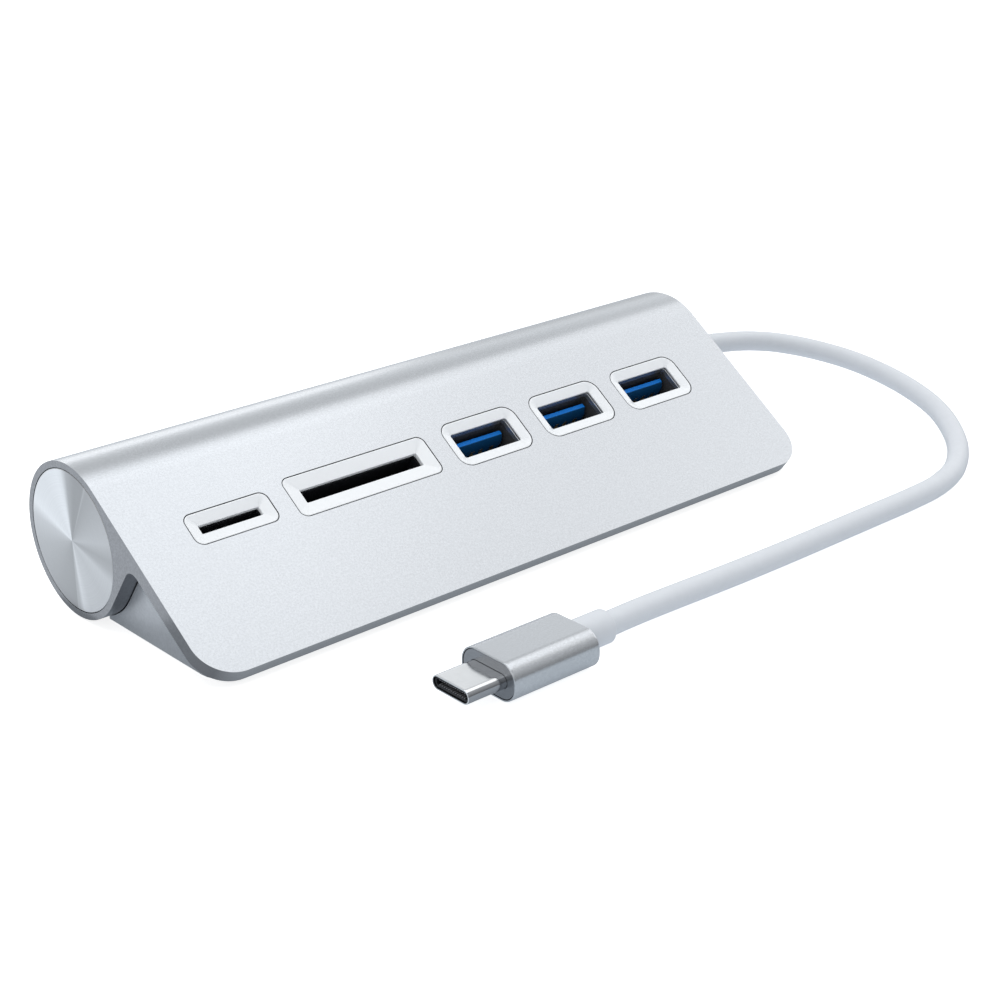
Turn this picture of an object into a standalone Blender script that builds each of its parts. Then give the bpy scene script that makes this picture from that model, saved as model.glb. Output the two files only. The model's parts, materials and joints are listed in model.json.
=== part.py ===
"""A desktop USB hub: an aluminium tube with a sloping port plate, three USB-A ports, an SD and
a microSD slot, a bottom cover on rubber feet, and a captive cable with a USB-C plug.

Frame: metres, +Z up, X along the tube, -Y towards the user. The origin is at the middle of
the hub's footprint, on the surface that it stands on.
"""

import math

import bmesh
import bpy
from mathutils import Euler, Matrix, Vector

MM = 0.001

# Clearances
SEAM = 0.15 * MM                 # the hairline between pieces that meet on the outside
GAP = 0.3 * MM                   # between pieces that rest on each other inside
SOLDER = 0.15 * MM               # under each piece that is soldered to the board

# Housing: a tube whose top runs on, tangentially, as a sloping plate
LENGTH = 135.4 * MM
TUBE_RADIUS = 13.09 * MM
BORE_RADIUS = 11.96 * MM
TILT = math.radians(35.3)        # the plate's slope
PLATE_RUN = 36.72 * MM           # from the tube's tangent line to the plate's front edge
PLATE_THICKNESS = 2.6 * MM
PLATE_CORNER = 6.5 * MM
WALL_FILLET = 2.2 * MM           # where the tube's front wall meets the plate's underside
BAY_HALF_LENGTH = 60.0 * MM      # the tube is open to the wedge between these two ends
BAY_BACK = 5.5 * MM
BAY_FRONT = 15.6 * MM
BAY_DEPTH = 20.0 * MM
POST_RADIUS = 1.4 * MM
BOSS_WIDTH = 5.0 * MM
LIFT = 0.3 * MM                  # how far the feet stand proud of the bottom cover
TUBE_STEP = math.radians(5)

# The tube's axis, placed so that the hub's footprint is centred on the origin
PLATE_REACH = TUBE_RADIUS * math.sin(TILT) + PLATE_RUN * math.cos(TILT)
AXIS_Y = (PLATE_REACH - TUBE_RADIUS) / 2
AXIS_Z = TUBE_RADIUS + LIFT

# Bottom cover
COVER_HALF_LENGTH = 64.5 * MM
COVER_WALL = 1.5 * MM
COVER_FRONT = PLATE_RUN - 1.2 * MM
COVER_BACK_ANGLE = math.radians(36)
COVER_CORNER = 5.3 * MM
COVER_SCREWS = [(x * MM, y * MM) for x in (-57.0, 57.0) for y in (-7.6, -17.6)]
COVER_SCREW_RADIUS = 0.9 * MM
COVER_HOLE_RADIUS = 1.05 * MM
COVER_HEAD_RADIUS = 1.9 * MM
COVER_HEAD_DEPTH = 0.9 * MM
COVER_HEAD_SINK = 0.2 * MM
COVER_SCREW_LENGTH = 4.6 * MM
COVER_BOSS_HOLE = 5.2 * MM
FOOT_ROWS = {"rear_foot": 3.9 * MM, "front_foot": -20.3 * MM}
FOOT_LENGTH = 96.0 * MM
FOOT_WIDTH = 3.8 * MM
FOOT_RECESS = 0.8 * MM

# End caps
CAP_THICKNESS = 2.0 * MM
CAP_SKIRT = 6.0 * MM
CAP_SKIRT_WALL = 1.4 * MM
CAP_CHAMFER = 0.15 * MM
TURNED_STEPS = 48

# Ports: centres along the plate, and down it from the tangent line
PORT_RUN = 11.72 * MM
USB_CENTRES = [(4.95 + 20.63 * number) * MM for number in range(3)]
SD_CENTRE = -22.45 * MM
MICROSD_CENTRE = -48.93 * MM
BEZEL_DISH = 0.57 * MM           # how far the opening lies below the plate
BEZEL_DEPTH = 3.2 * MM
SOCKET_END = 12.3 * MM           # the depth at which the sockets stand on the board

# Each port's plate cutout, bezel opening and bezel back pocket as width, height and corner
# radius, and the depth at which its pocket starts
USB_PORT = {
    "cutout": (17.0 * MM, 9.45 * MM, 2.5 * MM),
    "opening": (13.0 * MM, 5.16 * MM, 0.4 * MM),
    "pocket": (13.9 * MM, 6.5 * MM, 0.8 * MM),
    "lip": 1.25 * MM,
}
SD_PORT = {
    "cutout": (30.0 * MM, 8.05 * MM, 1.5 * MM),
    "opening": (24.55 * MM, 2.57 * MM, 0.15 * MM),
    "pocket": (28.4 * MM, 5.2 * MM, 0.5 * MM),
    "lip": 1.5 * MM,
}
MICROSD_PORT = {
    "cutout": (16.0 * MM, 6.05 * MM, 1.6 * MM),
    "opening": (11.56 * MM, 1.58 * MM, 0.12 * MM),
    "pocket": (14.2 * MM, 4.2 * MM, 0.5 * MM),
    "lip": 1.5 * MM,
}

# USB-A receptacle
USB_SHELL = (13.14 * MM, 5.76 * MM, 0.6 * MM)
USB_SHELL_WALL = 0.32 * MM
USB_SHELL_MOUTH = 1.4 * MM
USB_TONGUE_MOUTH = 2.65 * MM
USB_TONGUE_HALF_WIDTH = 5.75 * MM
USB_BASE_TOP = 9.4 * MM
USB_CONTACTS = {
    "centres": [x * MM for x in (-3.5, -1.0, 1.0, 3.5)],
    "width": 1.0 * MM,
    "tip": 5.4 * MM,
}

# Card sockets: the outlines of body and cavity, and the contacts across the cavity
SD_SOCKET = {
    "body": (27.2 * MM, 3.9 * MM, 0.3 * MM),
    "cavity": (24.8 * MM, 2.75 * MM, 0.1 * MM),
    "centres": [(-10.0 + 2.5 * number) * MM for number in range(9)],
    "width": 1.1 * MM,
    "tip": 4.6 * MM,
}
MICROSD_SOCKET = {
    "body": (13.0 * MM, 2.9 * MM, 0.3 * MM),
    "cavity": (11.7 * MM, 1.7 * MM, 0.1 * MM),
    "centres": [(-3.85 + 1.1 * number) * MM for number in range(8)],
    "width": 0.6 * MM,
    "tip": 4.6 * MM,
}
SOCKET_MOUTH = 1.8 * MM
SOCKET_FLOOR = 10.9 * MM
CARD_CONTACT_BACK = 8.7 * MM
SOCKET_COVER_WALL = 0.25 * MM
CONTACT_THICKNESS = 0.15 * MM
CONTACT_CLEARANCE = 0.1 * MM
CONTACT_BAR = 0.5 * MM           # the strip that carries a row of contacts

# Circuit board, parallel to the plate
BOARD_X = (-59.0 * MM, 57.0 * MM)
BOARD_RUN = (-9.5 * MM, 17.5 * MM)
BOARD_TOP = 12.6 * MM
BOARD_THICKNESS = 1.2 * MM
POSTS = [(x * MM, run * MM) for x in (-39.2, 35.9) for run in (3.5, 14.5)]
BOARD_HOLE_RADIUS = 1.1 * MM
POST_HOLE_RADIUS = 0.95 * MM
POST_HOLE_DEPTH = 3.5 * MM
BOARD_SCREW_RADIUS = 0.8 * MM
BOARD_SCREW_HEAD = (1.7 * MM, 1.0 * MM)
BOARD_SCREW_REACH = 3.0 * MM

# Parts on the board: centre along X, centre down the plate, size in X, size down, height
CHIPS = {
    "hub_controller": (15.0, -1.0, 8.0, 8.0, 1.0),
    "card_reader_controller": (-33.0, 0.0, 6.0, 6.0, 1.0),
    "voltage_regulator": (43.0, -3.0, 6.5, 3.5, 1.7),
    "power_inductor": (34.0, -4.0, 4.0, 4.0, 2.0),
    "crystal": (5.0, -3.0, 3.2, 2.5, 0.8),
    "bulk_capacitor_1": (-14.0, -3.0, 3.5, 2.8, 1.9),
    "bulk_capacitor_2": (26.0, -3.0, 3.5, 2.8, 1.9),
    "cable_header": (52.0, 0.0, 5.0, 10.0, 3.6),
}

# Cable
CABLE_RADIUS = 2.05 * MM
GLAND_RADIUS = 2.75 * MM
GLAND_LENGTH = 7.0 * MM
GLAND_HOLE_RADIUS = 3.05 * MM
GLAND_FLANGE = (4.5 * MM, 1.5 * MM)
FERRULE_RADIUS = 2.4 * MM
FERRULE_LENGTH = 3.6 * MM
CORES_RADIUS = 0.9 * MM
# Places that the cable passes, from the gland round to the plug, in millimetres
CABLE_ROUTE = [
    (75.0, 12.22, 13.39),
    (79.5, 12.2, 13.15),
    (84.1, 12.05, 12.65),
    (92.1, 10.7, 11.65),
    (98.3, 7.0, 10.7),
    (103.6, 0.5, 9.35),
    (106.9, -7.8, 7.8),
    (107.2, -18.6, 5.95),
    (103.8, -29.6, 4.2),
    (95.7, -39.9, 2.75),
    (85.8, -46.8, 2.17),
    (76.2, -50.0, 2.12),
    (67.4, -50.75, 2.12),
    (56.4, -50.8, 2.12),
    (45.1, -50.78, 2.12),
    (34.4, -50.74, 2.12),
    (24.3, -50.65, 2.16),
    (14.8, -50.58, 2.32),
    (5.2, -50.62, 2.65),
    (-3.0, -50.85, 3.02),
    (-8.0, -51.05, 3.2),
    (-11.95, -51.18, 3.25),
]
CABLE_POINTS = 24

# USB-C plug, lying on the surface; lengths run back from the body's front face
PLUG_PLACE = (-36.45 * MM, -50.88 * MM, 3.25 * MM)
PLUG_YAW = math.radians(-0.7)
PLUG_BODY = (12.05 * MM, 6.43 * MM, 2.96 * MM)
PLUG_BODY_LENGTH = 17.2 * MM
PLUG_BODY_WALL = 0.45 * MM
PLUG_BACK_WALL = 0.8 * MM
PLUG_BACK_HOLE = 2.3 * MM
PLUG_FACE_INSET = 0.1 * MM
PLUG_FACE_THICKNESS = 1.2 * MM
PLUG_TIP = (8.25 * MM, 2.4 * MM, 1.19 * MM)
PLUG_TIP_REACH = 7.28 * MM
PLUG_TIP_WALL = 0.22 * MM
PLUG_TIP_ROOT = 4.0 * MM
PLUG_CAVITY = (6.9 * MM, 0.95 * MM, 0.2 * MM)
PLUG_CONTACT_PITCH = 0.5 * MM
PLUG_CONTACTS_PER_ROW = 12
PLUG_CONTACT_WIDTH = 0.24 * MM
PLUG_CONTACT_THICKNESS = 0.1 * MM
PLUG_CONTACT_CLEARANCE = 0.05 * MM
PLUG_CONTACT_SETBACK = 0.6 * MM
COLLAR_RADIUS = 2.83 * MM
COLLAR_LENGTH = 7.0 * MM
COLLAR_NECK_RADIUS = 1.95 * MM

# Material: colour, roughness, metallic
FINISHES = {
    "blasted_aluminium": ((0.78, 0.80, 0.83), 0.45, 1.0),
    "turned_aluminium": ((0.72, 0.74, 0.77), 0.25, 1.0),
    "white_gloss": ((0.92, 0.92, 0.92), 0.15, 0.0),
    "cover_grey": ((0.55, 0.57, 0.60), 0.5, 0.3),
    "black_rubber": ((0.03, 0.03, 0.03), 0.9, 0.0),
    "steel": ((0.55, 0.56, 0.58), 0.3, 1.0),
    "port_blue": ((0.01, 0.13, 0.55), 0.4, 0.0),
    "black_plastic": ((0.015, 0.015, 0.018), 0.5, 0.0),
    "gold": ((0.85, 0.6, 0.25), 0.25, 1.0),
    "board_green": ((0.02, 0.16, 0.08), 0.5, 0.0),
    "white_cable": ((0.85, 0.86, 0.88), 0.4, 0.0),
    "ceramic": ((0.55, 0.42, 0.30), 0.6, 0.0),
}


# --- scene and material helpers ---------------------------------------------------------


def clear_scene():
    for old in list(bpy.data.objects):
        bpy.data.objects.remove(old, do_unlink=True)


def finish(name):
    """The named material, made the first time it is asked for."""
    material = bpy.data.materials.get(name)
    if material is None:
        colour, roughness, metallic = FINISHES[name]
        material = bpy.data.materials.new(name)
        material.use_nodes = True
        shader = material.node_tree.nodes["Principled BSDF"]
        shader.inputs["Base Color"].default_value = (*colour, 1.0)
        shader.inputs["Roughness"].default_value = roughness
        shader.inputs["Metallic"].default_value = metallic
    return material


def place(name, bm, material_name, matrix=None):
    """Turn a bmesh into a named object with its material, at the matrix's place."""
    bmesh.ops.recalc_face_normals(bm, faces=bm.faces)
    mesh = bpy.data.meshes.new(name)
    bm.to_mesh(mesh)
    bm.free()
    mesh.shade_smooth()
    mesh.set_sharp_from_angle(angle=math.radians(30))
    mesh.materials.append(finish(material_name))
    piece = bpy.data.objects.new(name, mesh)
    bpy.context.collection.objects.link(piece)
    if matrix is not None:
        piece.location = matrix.translation
        piece.rotation_euler = matrix.to_euler()
    return piece


def change(target, name, bm, operation, matrix=None):
    """Cut a shape from an object, or add it, with a Boolean modifier."""
    tool = place(name, bm, "steel", matrix)
    tool.hide_render = True
    tool.display_type = "WIRE"
    modifier = target.modifiers.new(name, "BOOLEAN")
    modifier.object = tool
    modifier.operation = operation
    modifier.solver = "EXACT"


# --- frames and outlines ----------------------------------------------------------------


def plate_point(x, run, depth):
    """A point given along the hub, down the plate and below the plate's surface."""
    y = AXIS_Y - (TUBE_RADIUS - depth) * math.sin(TILT) - run * math.cos(TILT)
    z = AXIS_Z + (TUBE_RADIUS - depth) * math.cos(TILT) - run * math.sin(TILT)
    return Vector((x, y, z))


def plate_frame(x=0.0, run=0.0):
    """A frame on the plate's surface: X along the hub, Y up the slope, Z out of it."""
    turn = Euler((TILT, 0, 0)).to_matrix().to_4x4()
    return Matrix.Translation(plate_point(x, run, 0)) @ turn


def plug_frame():
    """A frame at the middle of the plug body's front face, X towards the cable."""
    turn = Euler((0, 0, PLUG_YAW)).to_matrix().to_4x4()
    return Matrix.Translation(PLUG_PLACE) @ turn


def rounded_rectangle(width, height, radius, steps=5):
    """Corner arcs of a rounded rectangle about the origin, anticlockwise."""
    points = []
    for quarter in range(4):
        side_x = 1 if quarter in (0, 3) else -1
        side_y = 1 if quarter in (0, 1) else -1
        for step in range(steps + 1):
            angle = math.pi / 2 * (quarter + step / steps)
            x = side_x * (width / 2 - radius) + radius * math.cos(angle)
            y = side_y * (height / 2 - radius) + radius * math.sin(angle)
            points.append((x, y))
    return points


def inset(shape, amount):
    """A rounded rectangle's width, height and radius, made smaller all round."""
    width, height, radius = shape
    return width - 2 * amount, height - 2 * amount, max(radius - amount, 0.05 * MM)


def circle(radius, steps):
    angles = [2 * math.pi * step / steps for step in range(steps)]
    return [(radius * math.cos(angle), radius * math.sin(angle)) for angle in angles]


def level_ring(outline, depth):
    """An outline laid level at a depth below its frame's origin."""
    return [Vector((x, y, -depth)) for x, y in outline]


def upright_ring(outline, x):
    """An outline stood across the X axis."""
    return [Vector((x, y, z)) for y, z in outline]


# --- solids -----------------------------------------------------------------------------


def add_loft(bm, rings, hollow=False, matrix=None):
    """Skin rings of equal length. A hollow loft joins its last ring to its first, and any
    other is closed by a face at each end."""
    matrix = matrix or Matrix()
    loops = [[bm.verts.new(matrix @ point) for point in ring] for ring in rings]
    pairs = list(zip(loops, loops[1:]))
    if hollow:
        pairs.append((loops[-1], loops[0]))
    else:
        bm.faces.new(loops[0])
        bm.faces.new(loops[-1])
    for first, second in pairs:
        for index in range(len(first)):
            after = (index + 1) % len(first)
            bm.faces.new((first[index], first[after], second[after], second[index]))


def add_box(bm, low, high, matrix=None):
    outline = [(low[0], low[1]), (high[0], low[1]), (high[0], high[1]), (low[0], high[1])]
    add_loft(bm, [level_ring(outline, -low[2]), level_ring(outline, -high[2])], matrix=matrix)


def add_turned(bm, profile, steps=TURNED_STEPS, hollow=False, matrix=None):
    """Turn a profile of (place along X, radius) points about the X axis."""
    rings = [upright_ring(circle(radius, steps), x) for x, radius in profile]
    add_loft(bm, rings, hollow, matrix)


def add_upright(bm, profile, x, y, steps):
    """Turn a profile of (height, radius) points about the vertical through x, y."""
    rings = []
    for z, radius in profile:
        rings.append([Vector((x + a, y + b, z)) for a, b in circle(radius, steps)])
    add_loft(bm, rings)


def comb_outline(centres, width, back, bar, tip):
    """Teeth on one bar, as (across, along) points: the bar lies between back and bar."""
    points = [(centres[0] - width / 2, back)]
    for number, centre in enumerate(centres):
        if number > 0:
            points.append((centre - width / 2, bar))
        points.append((centre - width / 2, tip))
        points.append((centre + width / 2, tip))
        if number < len(centres) - 1:
            points.append((centre + width / 2, bar))
    points.append((centres[-1] + width / 2, back))
    return points


def solid(add, *values, **options):
    """A new bmesh holding the one solid that an add function makes."""
    bm = bmesh.new()
    add(bm, *values, **options)
    return bm


# --- housing ----------------------------------------------------------------------------


def section_point(run, depth):
    point = plate_point(0, run, depth)
    return point.y, point.z


def tube_arc(radius, start, end):
    """Points round the tube's axis, from the front wall's tangent line towards the back."""
    count = max(1, round(abs(end - start) / TUBE_STEP))
    points = []
    for number in range(count + 1):
        angle = start + (end - start) * number / count
        run = radius * math.cos(angle)
        depth = TUBE_RADIUS + radius * math.sin(angle)
        points.append(section_point(run, depth))
    return points


def fillet_arc(radius, steps=5):
    """Points from the tube's front wall up and round to the plate's underside."""
    points = []
    for step in range(steps + 1):
        angle = math.pi / 2 * step / steps
        run = TUBE_RADIUS + WALL_FILLET - radius * math.cos(angle)
        depth = PLATE_THICKNESS + WALL_FILLET - radius * math.sin(angle)
        points.append(section_point(run, depth))
    return points


def housing_section():
    front = [section_point(PLATE_RUN, 0), section_point(PLATE_RUN, PLATE_THICKNESS)]
    underside = list(reversed(fillet_arc(WALL_FILLET)))
    return front + underside + tube_arc(TUBE_RADIUS, 0, math.radians(270))


def add_corner_waste(bm, corner_x, corner_y, radius, low, high, steps=6):
    """The waste outside a rounded corner at (corner_x, corner_y) of a level outline whose
    middle lies at x = 0 and on the side of positive y."""
    side = 1 if corner_x > 0 else -1
    centre_x = corner_x - side * radius
    centre_y = corner_y + radius
    over = radius / 2
    outline = []
    for step in range(steps + 1):
        angle = math.pi / 2 * step / steps
        x = centre_x + side * radius * math.sin(angle)
        y = centre_y - radius * math.cos(angle)
        outline.append((x, y))
    outline.append((corner_x + side * over, centre_y))
    outline.append((corner_x + side * over, corner_y - over))
    outline.append((centre_x, corner_y - over))
    add_loft(bm, [level_ring(outline, low), level_ring(outline, high)])


def boss_section(y, width):
    """The section of a boss that reaches from inside the plate to just above the cover."""
    foot = LIFT + COVER_WALL + GAP
    bite = PLATE_THICKNESS * 0.6
    points = [(y + width / 2, foot), (y - width / 2, foot)]
    for edge in (y - width / 2, y + width / 2):
        run = (AXIS_Y - (TUBE_RADIUS - bite) * math.sin(TILT) - edge) / math.cos(TILT)
        points.append(section_point(run, bite))
    return points


def make_housing():
    section = housing_section()
    ends = [upright_ring(section, side * LENGTH / 2) for side in (-1, 1)]
    housing = place("housing", solid(add_loft, ends), "blasted_aluminium")

    over = 1.0 * MM
    bore = [(side * (LENGTH / 2 + over), BORE_RADIUS) for side in (-1, 1)]
    axis = Matrix.Translation((0, AXIS_Y, AXIS_Z))
    change(housing, "cut_bore", solid(add_turned, bore, 64, matrix=axis), "DIFFERENCE")

    bay_low = (-BAY_HALF_LENGTH, -BAY_FRONT, -BAY_DEPTH)
    bay_high = (BAY_HALF_LENGTH, -BAY_BACK, -PLATE_THICKNESS - 0.1 * MM)
    bay = solid(add_box, bay_low, bay_high)
    change(housing, "cut_bay", bay, "DIFFERENCE", plate_frame())

    bosses = bmesh.new()
    for x, y in COVER_SCREWS:
        boss = boss_section(y, BOSS_WIDTH)
        add_loft(bosses, [upright_ring(boss, x + side * BOSS_WIDTH / 2) for side in (-1, 1)])
    change(housing, "add_bosses", bosses, "UNION")

    posts = bmesh.new()
    for x, run in POSTS:
        ring = [(x + a, -run + b) for a, b in circle(POST_RADIUS, 16)]
        depths = (PLATE_THICKNESS / 2, BOARD_TOP - GAP)
        add_loft(posts, [level_ring(ring, depth) for depth in depths])
    change(housing, "add_posts", posts, "UNION", plate_frame())

    cuts = bmesh.new()
    for port, x in all_ports():
        outline = [(x + a, -PORT_RUN + b) for a, b in rounded_rectangle(*port["cutout"])]
        add_loft(cuts, [level_ring(outline, -over), level_ring(outline, 2 * BEZEL_DEPTH)])
    for side in (-1, 1):
        ends = (-over, PLATE_THICKNESS + over)
        add_corner_waste(cuts, side * LENGTH / 2, -PLATE_RUN, PLATE_CORNER, *ends)
    for x, run in POSTS:
        ring = [(x + a, -run + b) for a, b in circle(POST_HOLE_RADIUS, 12)]
        depths = (BOARD_TOP - GAP - POST_HOLE_DEPTH, BOARD_TOP)
        add_loft(cuts, [level_ring(ring, depth) for depth in depths])
    change(housing, "cut_plate", cuts, "DIFFERENCE", plate_frame())

    holes = bmesh.new()
    for x, y in COVER_SCREWS:
        hole = [(LIFT, COVER_HOLE_RADIUS), (LIFT + COVER_BOSS_HOLE, COVER_HOLE_RADIUS)]
        add_upright(holes, hole, x, y, 12)
    change(housing, "cut_boss_holes", holes, "DIFFERENCE")


# --- cover, feet, caps ------------------------------------------------------------------


def cover_section():
    back_to_wall = tube_arc(TUBE_RADIUS + SEAM, COVER_BACK_ANGLE, 0)
    under_plate = fillet_arc(WALL_FILLET - SEAM)
    front_top = section_point(COVER_FRONT, PLATE_THICKNESS + SEAM)
    front_foot = (front_top[0], LIFT)
    back_foot = (back_to_wall[0][0], LIFT)
    return back_to_wall + under_plate + [front_top, front_foot, back_foot]


def make_cover():
    section = cover_section()
    ends = [upright_ring(section, side * COVER_HALF_LENGTH) for side in (-1, 1)]
    cover = place("bottom_cover", solid(add_loft, ends), "cover_grey")

    inner = COVER_HALF_LENGTH - COVER_WALL
    low = (-inner, -2 * PLATE_REACH, LIFT + COVER_WALL)
    high = (inner, AXIS_Y, 2 * TUBE_RADIUS)
    change(cover, "cut_cover_inside", solid(add_box, low, high), "DIFFERENCE")

    front_y = section_point(COVER_FRONT, PLATE_THICKNESS + SEAM)[0]
    cuts = bmesh.new()
    for side in (-1, 1):
        ends = (-TUBE_RADIUS, LIFT)
        add_corner_waste(cuts, side * COVER_HALF_LENGTH, front_y, COVER_CORNER, *ends)
    for y in FOOT_ROWS.values():
        shape = (FOOT_LENGTH, FOOT_WIDTH, FOOT_WIDTH / 2 - 0.01 * MM)
        outline = [(a, y + b) for a, b in rounded_rectangle(*shape)]
        add_loft(cuts, [level_ring(outline, 0), level_ring(outline, -LIFT - FOOT_RECESS)])
    head = LIFT + COVER_HEAD_SINK
    hole = [
        (LIFT / 2, COVER_HEAD_RADIUS + SEAM),
        (head, COVER_HEAD_RADIUS + SEAM),
        (head + COVER_HEAD_DEPTH, COVER_HOLE_RADIUS),
        (LIFT + COVER_WALL + GAP, COVER_HOLE_RADIUS),
    ]
    for x, y in COVER_SCREWS:
        add_upright(cuts, hole, x, y, 16)
    change(cover, "cut_cover", cuts, "DIFFERENCE")


def make_cover_screws():
    head = LIFT + COVER_HEAD_SINK
    profile = [
        (head, COVER_HEAD_RADIUS),
        (head + COVER_HEAD_DEPTH - 0.1 * MM, COVER_SCREW_RADIUS),
        (LIFT + COVER_SCREW_LENGTH, COVER_SCREW_RADIUS),
    ]
    for number, (x, y) in enumerate(COVER_SCREWS, 1):
        screw = solid(add_upright, profile, x, y, 16)
        place(f"cover_screw_{number}", screw, "steel")


def make_feet():
    for name, y in FOOT_ROWS.items():
        shape = inset((FOOT_LENGTH, FOOT_WIDTH, FOOT_WIDTH / 2 - 0.01 * MM), SEAM)
        outline = [(a, y + b) for a, b in rounded_rectangle(*shape)]
        rings = [level_ring(outline, 0), level_ring(outline, -LIFT - FOOT_RECESS + GAP)]
        place(name, solid(add_loft, rings), "black_rubber")


def cap_profile(hole):
    """From the face's rim inwards over the face, down the hole and out along the skirt."""
    rim = BORE_RADIUS - SEAM
    skirt = rim - SEAM
    return [
        (-CAP_THICKNESS, rim),
        (-CAP_CHAMFER, rim),
        (0, rim - CAP_CHAMFER),
        (0, hole),
        (-CAP_THICKNESS, hole),
        (-CAP_THICKNESS, skirt - CAP_SKIRT_WALL),
        (-CAP_SKIRT, skirt - CAP_SKIRT_WALL),
        (-CAP_SKIRT, skirt),
        (-CAP_THICKNESS, skirt),
    ]


def make_caps():
    centre = Matrix.Translation((LENGTH / 2, AXIS_Y, AXIS_Z))
    pierced = solid(add_turned, cap_profile(GLAND_HOLE_RADIUS), hollow=True)
    place("right_end_cap", pierced, "turned_aluminium", centre)
    rim = BORE_RADIUS - SEAM
    skirt = rim - SEAM
    closed = [
        (0, rim - CAP_CHAMFER),
        (-CAP_CHAMFER, rim),
        (-CAP_THICKNESS, rim),
        (-CAP_THICKNESS, skirt),
        (-CAP_SKIRT, skirt),
        (-CAP_SKIRT, skirt - CAP_SKIRT_WALL),
        (-CAP_THICKNESS, skirt - CAP_SKIRT_WALL),
    ]
    turn = Euler((0, 0, math.pi)).to_matrix().to_4x4()
    left = Matrix.Translation((-LENGTH / 2, AXIS_Y, AXIS_Z)) @ turn
    place("left_end_cap", solid(add_turned, closed), "turned_aluminium", left)


# --- ports ------------------------------------------------------------------------------


def all_ports():
    ports = [(USB_PORT, x) for x in USB_CENTRES]
    return ports + [(SD_PORT, SD_CENTRE), (MICROSD_PORT, MICROSD_CENTRE)]


def make_bezel(name, port, x):
    outer = inset(port["cutout"], SEAM)
    rim_edge = 0.13 * MM
    rim_width = 0.35 * MM
    stages = [
        (outer, rim_edge),
        (inset(outer, rim_edge), 0.02 * MM),
        (inset(outer, rim_width), 0.03 * MM),
        (port["opening"], BEZEL_DISH),
        (port["opening"], port["lip"]),
        (port["pocket"], port["lip"]),
        (port["pocket"], BEZEL_DEPTH),
        (outer, BEZEL_DEPTH),
    ]
    rings = [level_ring(rounded_rectangle(*shape), depth) for shape, depth in stages]
    frame = plate_frame(x, PORT_RUN)
    place(name, solid(add_loft, rings, hollow=True), "white_gloss", frame)


def make_port_contacts(name, contacts, back, top, frame):
    """A comb of contacts along a port's depth, whose upper faces lie at y = top."""
    ends = (back, back + CONTACT_BAR, -contacts["tip"])
    outline = comb_outline(contacts["centres"], contacts["width"], *ends)
    rings = []
    for y in (top - CONTACT_THICKNESS, top):
        rings.append([Vector((across, y, along)) for across, along in outline])
    place(name, solid(add_loft, rings), "gold", frame)


def make_usb_port(number, x):
    frame = plate_frame(x, PORT_RUN)
    make_bezel(f"usb_bezel_{number}", USB_PORT, x)

    shell = rounded_rectangle(*USB_SHELL, steps=3)
    inside = rounded_rectangle(*inset(USB_SHELL, USB_SHELL_WALL), steps=3)
    rings = [
        level_ring(shell, USB_SHELL_MOUTH),
        level_ring(shell, SOCKET_END),
        level_ring(inside, SOCKET_END),
        level_ring(inside, USB_SHELL_MOUTH),
    ]
    place(f"usb_shell_{number}", solid(add_loft, rings, hollow=True), "steel", frame)

    half_base = USB_SHELL[1] / 2 - USB_SHELL_WALL - SEAM
    upper_face = 1.65 * MM
    tip_face = 0.85 * MM
    lower_face = 0.1 * MM
    taper = 1.25 * MM
    section = [
        (-half_base, -SOCKET_END),
        (half_base, -SOCKET_END),
        (half_base, -USB_BASE_TOP),
        (upper_face, -USB_BASE_TOP),
        (upper_face, -USB_TONGUE_MOUTH),
        (tip_face, -USB_TONGUE_MOUTH),
        (lower_face, -USB_TONGUE_MOUTH - taper),
        (lower_face, -USB_BASE_TOP),
        (-half_base, -USB_BASE_TOP),
    ]
    sides = [upright_ring(section, side * USB_TONGUE_HALF_WIDTH) for side in (-1, 1)]
    place(f"usb_tongue_{number}", solid(add_loft, sides), "port_blue", frame)

    top = lower_face - CONTACT_CLEARANCE
    back = -USB_BASE_TOP + GAP
    make_port_contacts(f"usb_contacts_{number}", USB_CONTACTS, back, top, frame)


def make_card_port(name, port, socket, x):
    frame = plate_frame(x, PORT_RUN)
    make_bezel(f"{name}_bezel", port, x)

    body = rounded_rectangle(*socket["body"], steps=2)
    cavity = rounded_rectangle(*socket["cavity"], steps=2)
    rings = [
        level_ring(body, SOCKET_END),
        level_ring(body, SOCKET_MOUTH),
        level_ring(cavity, SOCKET_MOUTH),
        level_ring(cavity, SOCKET_FLOOR),
    ]
    place(f"{name}_socket_body", solid(add_loft, rings), "black_plastic", frame)

    inner_x = socket["body"][0] / 2 + SEAM
    outer_x = inner_x + SOCKET_COVER_WALL
    inner_y = socket["body"][1] / 2 + SEAM
    outer_y = inner_y + SOCKET_COVER_WALL
    skirt_y = -socket["body"][1] / 2
    channel = [
        (-outer_x, skirt_y),
        (-inner_x, skirt_y),
        (-inner_x, inner_y),
        (inner_x, inner_y),
        (inner_x, skirt_y),
        (outer_x, skirt_y),
        (outer_x, outer_y),
        (-outer_x, outer_y),
    ]
    rings = [level_ring(channel, SOCKET_MOUTH + GAP), level_ring(channel, SOCKET_END)]
    place(f"{name}_socket_cover", solid(add_loft, rings), "steel", frame)

    top = -socket["cavity"][1] / 2 + CONTACT_CLEARANCE + CONTACT_THICKNESS
    make_port_contacts(f"{name}_contacts", socket, -CARD_CONTACT_BACK, top, frame)


# --- circuit board ----------------------------------------------------------------------


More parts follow.
